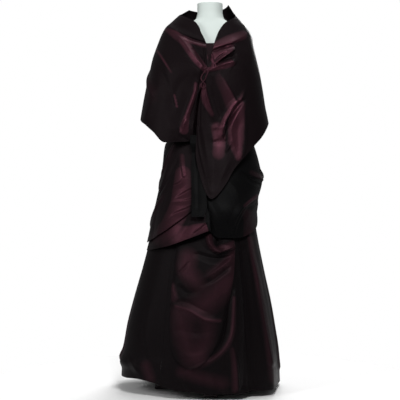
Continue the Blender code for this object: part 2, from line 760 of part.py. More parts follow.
def stole_half(top_rows, hem_rows, pleats):
    """Angle, height and radius over one half of the stole, from the pinch to the centre back."""
    shares = np.linspace(0, 1, STOLE_COLUMNS) ** 1.25
    downs = np.linspace(0, 1, STOLE_ROWS)
    top_angle = column(top_rows, "along", "angle", shares)
    top_height = column(top_rows, "along", "height", shares)
    hem_angle = column(hem_rows, "along", "angle", shares)
    hem_height = column(hem_rows, "along", "height", shares)
    angle = top_angle + (hem_angle - top_angle) * downs[:, None]
    height = top_height + (hem_height - top_height) * downs[:, None]
    radius = reach(STOLE, STOLE_SQUARENESS, angle, height) + fold_rise(STOLE_FOLDS, angle, height)
    for pleat in pleats:
        grown = smooth_step(0.0, 0.16, shares) * (1 - smooth_step(0.5 * pleat.reach, pleat.reach, shares))
        shape = np.exp(-(((downs - pleat.across) / pleat.width) ** 2))
        radius = radius + pleat.rise * shape[:, None] * grown[None, :]
    layers = (form_reach, bodice_under, overskirt_under)
    radius = lifted(angle, height, radius, layers, 2 * SEAM + STOLE_CLOTH)
    return place(angle, radius, height)


def bodice_under(angle, height):
    """The bodice's outer face, and nothing above its top edge."""
    return np.where(height < BODICE_TOP + 0.01, bodice_reach(angle, height), 0.0)


def overskirt_under(angle, height):
    """The pouf's or the drape's outer face under the stole, and nothing above their tops."""
    left = drape_reach(DRAPE_UPPER_FOLDS, angle, height)
    return np.where(height < DRAPE_TOP, np.where(angle < -1, left, pouf_reach(angle, height)), 0.0)


def make_stole():
    """The stole in one piece: from the right pinch round the back of the neck to the left one."""
    right = stole_half(STOLE_RIGHT_TOP, STOLE_RIGHT_HEM, RIGHT_PLEATS)
    left = stole_half(STOLE_LEFT_TOP, STOLE_LEFT_HEM, LEFT_PLEATS)
    outer = np.concatenate([right, left[:, -2::-1]], axis=1)
    wall("stole", outer, thinned(outer, STOLE_CLOTH))


def make_end(name, rows, folds, across_steps, down_steps):
    """The stole's left end: a strip that hangs between two side edges, narrowing to its tip."""
    tall = np.linspace(rows[0].height, rows[-1].height, down_steps)
    left = column(rows, "height", "left", tall)
    right = column(rows, "height", "right", tall)
    shares = np.linspace(0, 1, across_steps)
    angle = left[:, None] + (right - left)[:, None] * shares
    height = np.broadcast_to(tall[:, None], angle.shape)
    radius = column(rows, "height", "reach", tall)[:, None] + fold_rise(folds, angle, height)
    behind = reach(STOLE, STOLE_SQUARENESS, angle, height) - STOLE_CLOTH + SEAM
    radius = behind + (radius - behind) * (1 - smooth_step(0.93, 0.97, height))
    outer = place(angle, radius, height)
    wall(name, outer, thinned(outer, STOLE_CLOTH))


def make_loop():
    """The slit loop: a soft band round an almond-shaped opening."""
    around = np.linspace(0, 2 * math.pi, 24, endpoint=False)
    section = np.linspace(0, 2 * math.pi, 8, endpoint=False)
    pinch = 1 - 0.22 * np.cos(2 * around)
    centre_x = LOOP_HALF_WIDTH * np.sin(around) * (0.75 + 0.25 * pinch)
    centre_z = LOOP_HALF_HEIGHT * np.cos(around)
    out_x, out_z = np.sin(around), np.cos(around)
    across = LOOP_BAND * np.cos(section)
    deep = 0.55 * LOOP_BAND * np.sin(section)
    x = centre_x[:, None] + out_x[:, None] * across + LOOP_CENTRE[0]
    z = centre_z[:, None] + out_z[:, None] * across + LOOP_CENTRE[2]
    y = np.broadcast_to(deep + LOOP_CENTRE[1], x.shape)
    index = np.arange(x.size).reshape(x.shape)
    ahead = np.roll(index, -1, axis=0)
    faces = np.stack([index, ahead, np.roll(ahead, -1, axis=1), np.roll(index, -1, axis=1)], axis=-1)
    mesh = bpy.data.meshes.new("stole_loop")
    points = np.stack([x, y, z], axis=-1).reshape(-1, 3)
    mesh.from_pydata(points.tolist(), [], faces.reshape(-1, 4).tolist())
    mesh.validate()
    shape = bmesh.new()
    shape.from_mesh(mesh)
    bmesh.ops.recalc_face_normals(shape, faces=shape.faces)
    shape.to_mesh(mesh)
    shape.free()
    mesh.shade_smooth()
    add_object("stole_loop", mesh, "taffeta")


def main():
    for old in list(bpy.data.objects):
        bpy.data.objects.remove(old)
    make_form()
    make_pole()
    make_foot()
    make_bodice()
    make_skirt()
    make_left_drapes()
    make_pouf()
    make_swag()
    make_stole()
    make_end("stole_end", STOLE_END, STOLE_END_FOLDS, 5, 9)
    make_loop()


main()
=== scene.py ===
"""Evening dress with a wrapped stole on a limbless dress form: cloth, creases, finishes and stage.

Metres, +Z up. The origin is at the middle of the stand's foot, on the floor. The front faces -Y and
+X is on the right as the front is seen. An angle runs round the upright axis: 0 is the front, 90 is
+X, 180 is the back and -90 is -X. Each cloth piece is a grid of points whose distance from the axis
is a function of angle and height. The same functions say where the layer beneath is, so that a layer
always lies outside the one it covers.
"""

import math
from collections import namedtuple

import bpy
import numpy as np
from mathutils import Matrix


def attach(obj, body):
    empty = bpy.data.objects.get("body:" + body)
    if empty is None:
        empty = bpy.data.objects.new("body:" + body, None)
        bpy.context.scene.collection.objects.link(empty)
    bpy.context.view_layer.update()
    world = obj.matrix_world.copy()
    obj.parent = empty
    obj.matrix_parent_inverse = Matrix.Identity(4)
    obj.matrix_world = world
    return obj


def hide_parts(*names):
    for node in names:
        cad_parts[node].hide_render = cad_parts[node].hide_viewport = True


bl_info = {
    "name": "Evening dress",
    "version": (1, 0, 0),
    "blender": (4, 5, 0),
    "location": "View3D > Sidebar > Evening dress",
    "description": "Builds the cloth, the dress form, the stand and the stage round the packed model",
    "category": "Object",
}

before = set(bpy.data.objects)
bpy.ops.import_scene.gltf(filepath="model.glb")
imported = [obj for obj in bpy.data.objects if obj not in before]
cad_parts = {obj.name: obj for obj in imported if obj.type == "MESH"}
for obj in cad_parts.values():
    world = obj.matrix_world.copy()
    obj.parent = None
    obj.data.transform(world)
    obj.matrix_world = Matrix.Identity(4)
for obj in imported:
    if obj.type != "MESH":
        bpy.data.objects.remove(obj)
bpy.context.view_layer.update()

BODY = "root"

# Driving sizes
FORM_BOTTOM = 0.750
BODICE_TOP = 1.363
DROP_WAIST = 0.955
DRAPE_TOP = 1.030
CLOTH = 0.0020
STOLE_CLOTH = 0.0015
SEAM = 0.0004
FORM_GAP = 0.0005
MILLIMETRE = 0.001

# Stand
POLE_RADIUS = 0.0125
FLANGE_RADIUS = 0.045
FLANGE_THICK = 0.006
FOOT_WIDTH = 0.052
FOOT_THICK = 0.012
FOOT_FRONT = 0.200
FOOT_BACK = 0.230
FOOT_SIDE = 0.220
REST_GAP = 0.0003

# Outer faces: how far a surface reaches from the axis to each side, at each height
Section = namedtuple("Section", "height left right front back")
FORM = (
    Section(1.535, 0.0510, 0.0510, 0.0480, 0.0560),
    Section(1.500, 0.0505, 0.0505, 0.0495, 0.0535),
    Section(1.475, 0.0560, 0.0560, 0.0560, 0.0590),
    Section(1.455, 0.0840, 0.0840, 0.0650, 0.0660),
    Section(1.438, 0.1180, 0.1180, 0.0730, 0.0720),
    Section(1.420, 0.1460, 0.1460, 0.0800, 0.0760),
    Section(1.400, 0.1625, 0.1625, 0.0870, 0.0790),
    Section(1.363, 0.1630, 0.1630, 0.0975, 0.0825),
    Section(1.320, 0.1570, 0.1570, 0.1110, 0.0870),
    Section(1.280, 0.1500, 0.1500, 0.1270, 0.0920),
    Section(1.240, 0.1450, 0.1450, 0.1330, 0.0950),
    Section(1.190, 0.1380, 0.1380, 0.1200, 0.0950),
    Section(1.130, 0.1230, 0.1230, 0.0990, 0.0910),
    Section(1.060, 0.1150, 0.1150, 0.0870, 0.0870),
    Section(1.010, 0.1300, 0.1300, 0.0920, 0.0920),
    Section(0.955, 0.1480, 0.1480, 0.1030, 0.0990),
    Section(0.900, 0.1570, 0.1570, 0.1080, 0.1080),
    Section(0.850, 0.1600, 0.1600, 0.1100, 0.1140),
    Section(0.800, 0.1560, 0.1560, 0.1060, 0.1140),
    Section(0.750, 0.1430, 0.1430, 0.0970, 0.1050),
)
FORM_SQUARENESS = 2.25

SKIRT = (
    Section(0.955, 0.1505, 0.1505, 0.1055, 0.1015),
    Section(0.900, 0.1650, 0.1610, 0.1170, 0.1150),
    Section(0.850, 0.1780, 0.1650, 0.1280, 0.1280),
    Section(0.800, 0.1880, 0.1690, 0.1400, 0.1420),
    Section(0.735, 0.2040, 0.1740, 0.1570, 0.1620),
    Section(0.670, 0.2210, 0.1800, 0.1750, 0.1840),
    Section(0.600, 0.2400, 0.1910, 0.1920, 0.2060),
    Section(0.550, 0.2540, 0.2000, 0.2030, 0.2200),
    Section(0.447, 0.2830, 0.2200, 0.2210, 0.2470),
    Section(0.351, 0.3100, 0.2400, 0.2350, 0.2700),
    Section(0.255, 0.3350, 0.2560, 0.2470, 0.2900),
    Section(0.160, 0.3530, 0.2690, 0.2570, 0.3050),
    Section(0.118, 0.3690, 0.2720, 0.2600, 0.3100),
    Section(0.090, 0.3600, 0.2740, 0.2620, 0.3140),
    Section(0.010, 0.3620, 0.2770, 0.2640, 0.3200),
)
SKIRT_SQUARENESS = 2.15

OVERSKIRT = (
    Section(1.030, 0.1560, 0.1500, 0.1250, 0.1200),
    Section(0.959, 0.1820, 0.1790, 0.1450, 0.1300),
    Section(0.895, 0.1890, 0.1970, 0.1580, 0.1420),
    Section(0.831, 0.1970, 0.2090, 0.1740, 0.1560),
    Section(0.767, 0.2090, 0.1960, 0.1960, 0.1720),
    Section(0.703, 0.2250, 0.1870, 0.2200, 0.1880),
    Section(0.639, 0.2390, 0.1920, 0.2380, 0.2080),
    Section(0.540, 0.2610, 0.2080, 0.2500, 0.2300),
)

STOLE = (
    Section(1.535, 0.0720, 0.0740, 0.0640, 0.0700),
    Section(1.515, 0.0900, 0.0850, 0.0700, 0.0740),
    Section(1.495, 0.1140, 0.0960, 0.0770, 0.0770),
    Section(1.463, 0.1500, 0.1240, 0.0870, 0.0820),
    Section(1.431, 0.1820, 0.1500, 0.0980, 0.0850),
    Section(1.399, 0.1980, 0.1650, 0.1110, 0.0820),
    Section(1.351, 0.2160, 0.1750, 0.1330, 0.0860),
    Section(1.311, 0.2300, 0.1850, 0.1500, 0.0910),
    Section(1.250, 0.2430, 0.1990, 0.1640, 0.1040),
    Section(1.183, 0.2580, 0.2110, 0.1660, 0.1140),
    Section(1.119, 0.2700, 0.2210, 0.1650, 0.1240),
    Section(1.060, 0.2790, 0.2330, 0.1660, 0.1350),
    Section(0.980, 0.2850, 0.2420, 0.1720, 0.1450),
    Section(0.900, 0.2880, 0.2450, 0.1850, 0.1500),
    Section(0.840, 0.2880, 0.2450, 0.1960, 0.1500),
    Section(0.755, 0.2880, 0.2450, 0.2180, 0.1500),
)
STOLE_SQUARENESS = 2.5


# The skirt's flutes run down it and grow towards the hem
Flute = namedtuple("Flute", "angle lean width depth")
SKIRT_FLUTES = (
    Flute(-113, -4, 11, 0.034),
    Flute(-92, 2, 9, -0.016),
    Flute(-66, -2, 12, 0.003),
    Flute(-42, 0, 9, -0.008),
    Flute(24, -2, 7, 0.010),
    Flute(33, 5, 6, -0.020),
    Flute(47, 9, 7, 0.012),
    Flute(78, 3, 12, -0.008),
    Flute(104, 2, 10, 0.014),
    Flute(128, 2, 11, -0.018),
    Flute(150, 0, 11, 0.020),
    Flute(171, 0, 9, -0.018),
    Flute(-166, 0, 11, 0.022),
    Flute(-140, -2, 11, -0.018),
)
FLUTE_START = 0.86
FLUTE_FULL = 0.10
# The skirt's top lies on the form at this many thicknesses of cloth
SEAT_LAYERS = 1.7

HemRow = namedtuple("HemRow", "angle height")
SKIRT_HEM = (
    HemRow(-180, 0.030),
    HemRow(-150, 0.050),
    HemRow(-115, 0.080),
    HemRow(-88, 0.062),
    HemRow(-70, 0.063),
    HemRow(-58, 0.067),
    HemRow(-46, 0.058),
    HemRow(-36, 0.042),
    HemRow(-25, 0.035),
    HemRow(-13, 0.030),
    HemRow(-4, 0.025),
    HemRow(36, 0.025),
    HemRow(63, 0.023),
    HemRow(84, 0.017),
    HemRow(140, 0.024),
    HemRow(180, 0.030),
)

# Edges of the pieces that lie over others, as angle and height along each edge
Edge = namedtuple("Edge", "along angle height")
DRAPE_UPPER_HEM = (
    Edge(0.00, -8, 0.765),
    Edge(0.10, -17, 0.718),
    Edge(0.30, -31, 0.672),
    Edge(0.55, -52, 0.620),
    Edge(0.80, -84, 0.583),
    Edge(1.00, -118, 0.590),
)
DRAPE_LOWER_HEM = (
    Edge(0.00, -2, 0.634),
    Edge(0.25, -24, 0.600),
    Edge(0.50, -46, 0.571),
    Edge(0.80, -84, 0.552),
    Edge(1.00, -116, 0.560),
)
DRAPE_LOWER_TOP = 0.790
DRAPE_LAYERS_APART = 0.008
# A layer over others comes in to its seam: from one angle to the next, and between two heights
DRAPE_FREE = 100
DRAPE_SEWN = 115
WAIST_FREE = 0.972
WAIST_SEWN = 1.026
POUF_HEM = (
    Edge(0.00, -4.6, 0.668),
    Edge(0.06, -1.0, 0.634),
    Edge(0.16, 9, 0.607),
    Edge(0.35, 30, 0.606),
    Edge(0.55, 48, 0.622),
    Edge(0.72, 70, 0.650),
    Edge(0.86, 90, 0.690),
    Edge(1.00, 118, 0.720),
)
POUF_BULGE = 0.020
POUF_HALF_ANGLE = 26
POUF_HALF_HEIGHT = 0.085
# The pouf's roll: where it starts and would end down the piece, how late it turns, and its gap at the end
POUF_ROLL_FROM = 0.62
POUF_ROLL_TO = 1.12
POUF_ROLL_POWER = 1.5
POUF_ROLL_GAP = 0.012
POUF_FREE = 100
POUF_SEWN = 116
POUF_CENTRE_ANGLE = 30
POUF_CENTRE_HEIGHT = 0.690
# Angles between which the pouf's left edge stops lying on the drape
BESIDE_FULL = -1.0
BESIDE_NONE = 2.0
# A layer still counts this far above its top edge
ABOVE_TOP = 0.01

SWAG_HEM = (
    Edge(0.00, -37, 0.430),
    Edge(0.10, -34, 0.235),
    Edge(0.22, -30, 0.170),
    Edge(0.36, -23, 0.133),
    Edge(0.50, -15, 0.118),
    Edge(0.64, -5, 0.145),
    Edge(0.76, 3, 0.196),
    Edge(0.86, 9, 0.262),
    Edge(0.94, 19, 0.400),
    Edge(1.00, 27, 0.560),
)
SWAG_TOP = 0.655
SWAG_BULGE = 0.020
# The swag's swell down the piece, as a stretch of half a sine wave, and its creases' share at the edges
SWAG_SWELL_START = 0.08
SWAG_SWELL_REACH = 0.80
SWAG_EDGE_CREASES = 0.15
STOLE_LEFT_TOP = (
    Edge(0.00, -2.4, 1.262),
    Edge(0.08, -4.5, 1.320),
    Edge(0.16, -8.5, 1.366),
    Edge(0.26, -18.5, 1.405),
    Edge(0.31, -25, 1.430),
    Edge(0.37, -36, 1.452),
    Edge(0.47, -66, 1.480),
    Edge(0.58, -92, 1.494),
    Edge(0.70, -114, 1.517),
    Edge(1.00, -180, 1.512),
)
STOLE_LEFT_HEM = (
    Edge(0.00, -4.4, 1.236),
    Edge(0.10, -19.4, 1.115),
    Edge(0.20, -23.5, 0.984),
    Edge(0.28, -32, 0.976),
    Edge(0.38, -50, 0.973),
    Edge(0.45, -61.5, 1.017),
    Edge(0.52, -74, 1.053),
    Edge(0.62, -92, 1.077),
    Edge(0.75, -122, 1.085),
    Edge(1.00, -180, 1.060),
)
STOLE_RIGHT_TOP = (
    Edge(0.00, -2.1, 1.262),
    Edge(0.08, 3.0, 1.320),
    Edge(0.16, 7.5, 1.364),
    Edge(0.26, 15, 1.401),
    Edge(0.31, 22, 1.422),
    Edge(0.37, 34, 1.446),
    Edge(0.46, 60, 1.472),
    Edge(0.56, 86, 1.500),
    Edge(0.66, 104, 1.534),
    Edge(0.80, 140, 1.524),
    Edge(1.00, 180, 1.512),
)
STOLE_RIGHT_HEM = (
    Edge(0.000, -4.1, 1.236),
    Edge(0.050, -12.5, 1.160),
    Edge(0.100, -17.0, 1.060),
    Edge(0.145, -17.8, 0.942),
    Edge(0.180, -11.9, 0.846),
    Edge(0.214, 0.6, 0.755),
    Edge(0.250, 14.6, 0.804),
    Edge(0.300, 27, 0.872),
    Edge(0.360, 35.5, 0.905),
    Edge(0.460, 56, 0.980),
    Edge(0.580, 80, 1.052),
    Edge(0.700, 110, 1.075),
    Edge(1.000, 180, 1.060),
)
# Pleats fan out of the pinch: across is the share of the way from top edge to hem
Pleat = namedtuple("Pleat", "across width rise reach")
LEFT_PLEATS = (
    Pleat(0.34, 0.065, 0.006, 0.40),
    Pleat(0.52, 0.075, -0.005, 0.40),
    Pleat(0.90, 0.060, 0.007, 0.30),
)
RIGHT_PLEATS = (
    Pleat(0.55, 0.060, -0.004, 0.30),
    Pleat(0.84, 0.070, 0.005, 0.34),
)
# A pleat is full from this share of the half on, and fades from this share of its own reach
PLEAT_FULL = 0.16
PLEAT_FADE = 0.5
# The stole's left end: its side edges as angles at each height, and its reach from the axis
EndRow = namedtuple("EndRow", "height left right reach")
STOLE_END = (
    EndRow(1.000, -25.0, -12.0, 0.1680),
    EndRow(0.940, -24.5, -10.5, 0.1720),
    EndRow(0.860, -23.0, -8.0, 0.1860),
    EndRow(0.790, -20.5, -5.0, 0.2062),
    EndRow(0.730, -18.0, -3.6, 0.2320),
    EndRow(0.688, -17.0, -5.5, 0.2460),
)
# It goes in behind the stole between these two heights
END_FREE = 0.93
END_TUCKED = 0.97
# The slit's rolled edges below the pinch: one closed line that crosses itself, in the frame's steps, with
# how far each point stands off the stole, in millimetres
LoopPoint = namedtuple("LoopPoint", "across down off")
SLIT_LOOP = (
    LoopPoint(207.0, 69.5, 1.0),
    LoopPoint(204.0, 72.5, 2.0),
    LoopPoint(201.3, 76.8, 3.0),
    LoopPoint(201.4, 80.0, 4.0),
    LoopPoint(203.8, 82.6, 4.0),
    LoopPoint(205.6, 85.4, 2.5),
    LoopPoint(204.3, 88.4, 1.0),
    LoopPoint(202.0, 87.6, 1.0),
    LoopPoint(201.2, 84.8, 1.0),
    LoopPoint(202.8, 82.0, 0.5),
    LoopPoint(205.0, 79.6, 1.5),
    LoopPoint(206.7, 75.4, 2.5),
    LoopPoint(208.2, 71.6, 2.0),
)
LOOP_REACH = 0.172
LOOP_BAND = 0.0020
LOOP_FLATNESS = 0.6
LOOP_LENGTH = 0.12
LOOP_AROUND = 16
LOOP_STEPS = 12
# The slit loop's strands take this share of painted shade, and the rest is painted highlight
LOOP_PAINTED_SHADE = 0.35

# The camera's frame is 400 steps wide and high, and a step is 4 mm in the plane through the axis
FRAME_STEP = 0.004
FRAME_MIDDLE = 200
VIEW_X = -0.040
VIEW_Z = 0.751
VIEW_AWAY = 4.0

# A crease is a ridge, or a trough where its rise is below 0, along a line of points. Left and right are
# how wide its slopes are on each side of the line, in steps. Each holds its values from the line's start
# to its end, and rise is in millimetres. Front lines are in the frame's steps, across and down. Lines
# placed round the axis are in degrees and metres of height.
Crease = namedtuple("Crease", "line rise left right")
# How round a crest is, in steps, and how steeply a crease's slope and the edge of a light fall
CREST = 0.35
CRISP = 1.3
LIT_CRISP = 0.50
LIT_SOFT = 1.0
# A ridge on the sides or the back is lit over this many times its own width, by these shares along it
RIDGE_LIGHT = 2.2
RIDGE_SHARES = (0.6, 1, 0.8)
# The front view's creases reach their full depth where the cloth faces it by this much, and its lights lie
# in front of the first of these two places on Y and are full at the second. There the lights on the ridges
# are held back by this share.
FACES_FRONT = 0.35
LIGHTS_END = 0.05
LIGHTS_FULL = -0.02
RIDGES_HELD = 0.8

# How much of a piece's near-black colour shows where no highlight is painted, how far the painted highlights
# of the front view and of the other sides' ridges clear it, and how crisp the edges of the front's painted
# highlights are
Shares = namedtuple("Shares", "plain lit ridges crisp")
BODICE_PLAIN = 0.85
SKIRT_SHARES = Shares(0.97, 0.42, 0.40, LIT_SOFT)
SWAG_SHARES = Shares(0.97, 0.36, 0.0, LIT_SOFT)
DRAPE_SHARES = Shares(0.94, 0.80, 0.60, LIT_CRISP)
# Where no highlight is painted, the pouf takes the near-black colour in full: painted shade
POUF_SHARES = Shares(1.0, 0.60, 0.45, LIT_CRISP)
STOLE_SHARES = Shares(0.94, 0.95, 0.60, LIT_CRISP)
# Steps to a degree where the cloth is unrolled
ROUND_STEP = 0.96

# Cloth shown, its edges, its seams and its stitches
LAYER_GAP = 0.0022
SWAG_GAP = 0.0012
PINCH_CROWDING = 1.7
SHARP_ANGLE = 62
CLOTH_UV = "cloth"
# The attribute that holds the cloth's painted shade and painted highlights
PAINTED_SHADE = "turned"
SEWN = "sewn"
STITCH_IN = 0.0045
STITCH_THICK = 0.0004
STITCH_PITCH = 0.0030
# A stitch is where the sine along the row is above this
STITCH_FROM = -0.4
CAP_EDGE = 0.0025
EDGE = 0.0008
FLOOR_GAP = 0.0005
SHOWN_SEAM = 0.0003

# Panels, from one angle to another, with the radius at which their seams have their gap, and their grids
Panel = namedtuple("Panel", "name start end")
BODICE_PANELS = (
    Panel("bodice_front", -90, 90),
    Panel("bodice_back_right", 90, 180),
    Panel("bodice_back_left", 180, 270),
)
BODICE_SEAM_RADIUS = 0.12
BODICE_STEP = 2.0
BODICE_ROWS = 90
SKIRT_GORES = (
    Panel("skirt_front", -40, 35),
    Panel("skirt_side_right", 35, 110),
    Panel("skirt_back_right", 110, 180),
    Panel("skirt_back_left", 180, 250),
    Panel("skirt_side_left", 250, 320),
)
SKIRT_SEAM_RADIUS = 0.20
SKIRT_STEP = 0.6
SKIRT_ROWS = 200
# The columns next to a seam, at these shares of a step from it
SEAM_COLUMNS = (0.0, 0.35, 0.7)

# Taffeta: how long and close its slubs and crumples are on the UV map, and how deep each bump is
CLOTH_NAME = "taffeta_cloth"
SLUB_GRAIN = (45, 900, 1)
CRUMPLE_GRAIN = (38, 52, 1)
CRUMPLE_DEPTH = 0.0016
SLUB_DEPTH = 0.00012
WEAVE_DEPTH = 0.00005
STITCH_DEPTH = 0.0003
SLUB_STREAKS = 0.35
# How metallic the cloth's sheen is where its highlights are painted, and how much of that its painted shade
# takes away
SATIN_LIT = 0.92
SATIN_DARK = -0.80
# The Mix node's two colours in and its colour out
MIX_FIRST = 6
MIX_SECOND = 7
MIX_RESULT = 2

# Soft square lights, each with the name of the property that holds its power
Light = namedtuple("Light", "name place aim side power")
LIGHTS = (
    Light("key_light", (0.45, -2.8, 2.9), (0, 0, 1.25), 0.9, "key_power"),
    Light("side_light", (-2.7, -2.3, 1.9), (0, 0, 0.9), 1.1, "side_power"),
    Light("top_light", (0.2, 0.9, 3.2), (0, 0.3, 0), 1.6, "top_power"),
    Light("back_light", (0.7, 3.2, 2.6), (0, 0, 0.9), 1.2, "back_power"),
)
LENS = 90
SENSOR = 36
FLOOR_STEP = 3.0

# Each piece's cut, before it was sewn: its width and length flat, its area, and how it is held
Cut = namedtuple("Cut", "width length area held rests_on")

SKIRT_CREASES = (
    Crease(
        ((248, 236), (250, 252), (256, 275), (259, 300), (264, 330), (270, 362)),
        (3, 7, 10, 12),
        (4, 6),
        (2, 3),
    ),
    Crease(
        ((233, 288), (228, 305), (226, 325), (222, 342), (211, 358)),
        (-3, -9, -12, -11, -5),
        (3, 3),
        (3.5, 4),
    ),
    Crease(
        ((235, 294), (233.5, 315), (232, 332), (227, 345), (218, 356), (204, 364), (188, 371)),
        (3, 6, 8, 9, 8, 6, 3),
        (2.2, 5),
        (2.5, 3),
    ),
    Crease(((231, 330), (233, 350), (236, 362), (239, 388)), (1, 6, 9), (1.5, 2), (6, 8)),
    Crease(((243, 250), (246, 300), (246, 345), (245, 386)), (-6, -12, -14), (5, 7), (6, 8)),
    Crease(((132, 361), (137, 370), (143, 377)), (4, 6, 2), (2, 3), (5, 5)),
    Crease(((152, 300), (146, 330), (150, 352), (160, 372)), (1, 4, 3), (8, 9), (5, 6)),
    Crease(((176, 372), (184, 380), (190, 390)), (1, 5, 5), (4, 5), (4, 5)),
    Crease(((206, 370), (212, 380), (214, 390)), (1, 5, 6), (4, 5), (4, 5)),
)
SKIRT_ROUND_CREASES = (
    Crease(((109, 0.80), (117, 0.45), (122, 0.10)), (2, 7, 12), (4, 7), (3, 5)),
    Crease(((135, 0.70), (138, 0.40), (146, 0.06)), (-2, -6, -12), (3, 5), (4, 6)),
    Crease(((164, 0.83), (161, 0.50), (156, 0.05)), (2, 6, 10), (3, 6), (4, 7)),
    Crease(((-172, 0.76), (-167, 0.40), (-169, 0.06)), (-2, -6, -12), (3, 5), (4, 6)),
    Crease(((-148, 0.84), (-146, 0.52), (-151, 0.08)), (2, 6, 11), (4, 7), (3, 6)),
    Crease(((-125, 0.66), (-120, 0.38), (-122, 0.10)), (-2, -5, -10), (3, 5), (3, 5)),
    Crease(((-104, 0.50), (-100, 0.30), (-96, 0.10)), (1, 5, 9), (3, 6), (3, 5)),
    Crease(((-78, 0.46), (-79, 0.26), (-83, 0.09)), (0, -4, -6), (3, 5), (3, 5)),
    Crease(((84, 0.60), (90, 0.35), (95, 0.08)), (0, 4, 8), (4, 6), (3, 4)),
)
DRAPE_UPPER_CREASES = (
    Crease(((170, 186.5), (175, 185), (180, 182.5), (184, 178)), (-1, -5, -5, -2), (1.6, 2.2), (5, 6)),
    Crease(((175, 199), (180, 195.5), (186, 192), (193, 188.5)), (-1, -5, -6, -5), (1.5, 2.0), (6, 6)),
    Crease(((168, 203), (176, 201.5), (184, 201), (192, 199)), (0, -3, -4, -3), (1.8, 2.0), (4, 5)),
    Crease(((170, 217), (176, 213), (184, 210), (191, 207)), (-1, -5, -7, -5), (1.6, 2.0), (6, 6)),
    Crease(((181, 156), (182.5, 166), (184, 176)), (1, 5, 3), (3, 3), (2, 2)),
    Crease(((170, 152), (167, 172), (160, 196), (152, 226)), (2, 7, 8, 5), (4, 6), (6, 9)),
    Crease(((163, 190), (158, 208), (152, 236)), (0, -4, -5), (3, 5), (3, 4)),
)
DRAPE_LOWER_CREASES = (
    Crease(((195, 233), (200, 229.5), (205, 225)), (-3, -5, -4), (1.5, 1.5), (3, 3)),
    Crease(((180, 240), (184, 232), (190, 221)), (0, 4, 4), (5, 5), (6, 6)),
)
DRAPE_ROUND_CREASES = (
    Crease(((-48, 0.90), (-64, 0.80), (-80, 0.73)), (-2, -5, -7), (3, 4), (4, 5)),
    Crease(((-57, 0.97), (-73, 0.87), (-94, 0.80)), (3, 6, 5), (3, 5), (2, 4)),
    Crease(((-62, 0.76), (-83, 0.67), (-106, 0.64)), (2, 5, 6), (3, 4), (2, 3)),
    Crease(((-70, 0.93), (-86, 0.80), (-108, 0.74)), (-2, -5, -3), (2, 3), (3, 4)),
)
POUF_CREASES = (
    Crease(((243, 173), (250, 178.5), (257, 182), (264, 184.5)), (-3, -7, -9, -8), (2, 2), (4, 5)),
    Crease(((250, 174), (257, 178), (263, 180.5), (268, 181.5)), (1, 5, 12, 15), (4, 6), (1.3, 1.6)),
    Crease(((246, 205.5), (250, 201), (256, 196.5)), (2, 7, 4), (2, 2), (1.6, 2)),
    Crease(((243, 211), (250, 207.5), (258, 203)), (-3, -7, -5), (1.6, 2.4), (3, 4)),
    Crease(((240, 236), (242, 224), (247, 212), (256, 205)), (-5, -6, -5, -2), (1.6, 2), (5, 5)),
    Crease(((234, 232), (237, 220), (242, 209), (250, 200)), (5, 7, 7, 3), (6, 6), (2, 2)),
    Crease(((209, 190), (213, 205), (222, 222)), (-2, -4, -2), (5, 6), (5, 6)),
    Crease(((226, 178), (236, 190), (240, 204)), (1, 3, 1), (6, 6), (7, 7)),
)
POUF_ROUND_CREASES = (
    Crease(((78, 0.868), (96, 0.840), (112, 0.822)), (4, 9, 3), (3, 3), (4, 5)),
    Crease(((70, 0.745), (84, 0.770), (100, 0.800)), (-4, -8, -4), (2, 3), (4, 4)),
    Crease(((74, 0.705), (90, 0.735), (106, 0.770)), (3, 6, 3), (3, 4), (3, 4)),
)
SWAG_CREASES = (
    Crease(((208, 236), (214, 243), (236, 246)), (8, 13, 12), (12, 12), (9, 9)),
    Crease(((208.5, 235), (209.5, 242), (213.5, 248.5), (219, 251.5)), (10, 16, 16, 12), (4, 4), (4, 3)),
    Crease(((219, 251.5), (227, 249.5), (238, 246)), (12, 15, 11), (7, 7), (2, 2.4)),
    Crease(((219, 236), (218, 242), (219.5, 247.5)), (-16, -24, -12), (5, 4), (4, 3)),
    Crease(((198, 254), (212, 258), (224, 258), (237, 254)), (-4, -9, -10, -6), (3, 3), (6, 7)),
    Crease(
        ((236, 254), (229, 260.5), (221, 267), (212, 274), (204, 279)),
        (6, 10, 9, 6, 1),
        (4, 5),
        (2.5, 3),
    ),
    Crease(((236, 262), (228, 269), (215, 279), (204, 285)), (-3, -7, -6, -1), (2.5, 3), (7, 7)),
    Crease(((180, 272), (184, 268), (188, 263)), (-3, -4, -2), (1.5, 1.5), (3, 3)),
    Crease(((176, 258), (180, 270), (189, 284)), (0, 4, 2), (8, 8), (6, 6)),
    Crease(((172, 285), (176, 297), (182, 304)), (4, 6, 2), (2.5, 3), (3, 4)),
    Crease(((179, 287), (187, 293), (197, 292)), (-3, -6, -2), (4, 5), (4, 5)),
    Crease(
        ((174, 306), (187, 310), (198, 316), (207, 320.5), (221, 321)),
        (2, 5, 6, 6, 4),
        (5, 5),
        (1.4, 1.6),
    ),
    Crease(((175, 301), (188, 303), (200, 309), (212, 314)), (-2, -5, -4, -1), (3, 4), (3, 3)),
    Crease(((178, 330), (196, 333), (212, 331)), (-2, -4, -2), (6, 6), (6, 6)),
    Crease(((176, 346), (188, 356), (204, 354), (214, 344)), (1, 4, 4, 2), (4, 5), (3, 4)),
    Crease(((190, 322), (196, 340), (206, 352)), (0, 3, 1), (5, 5), (4, 4)),
)
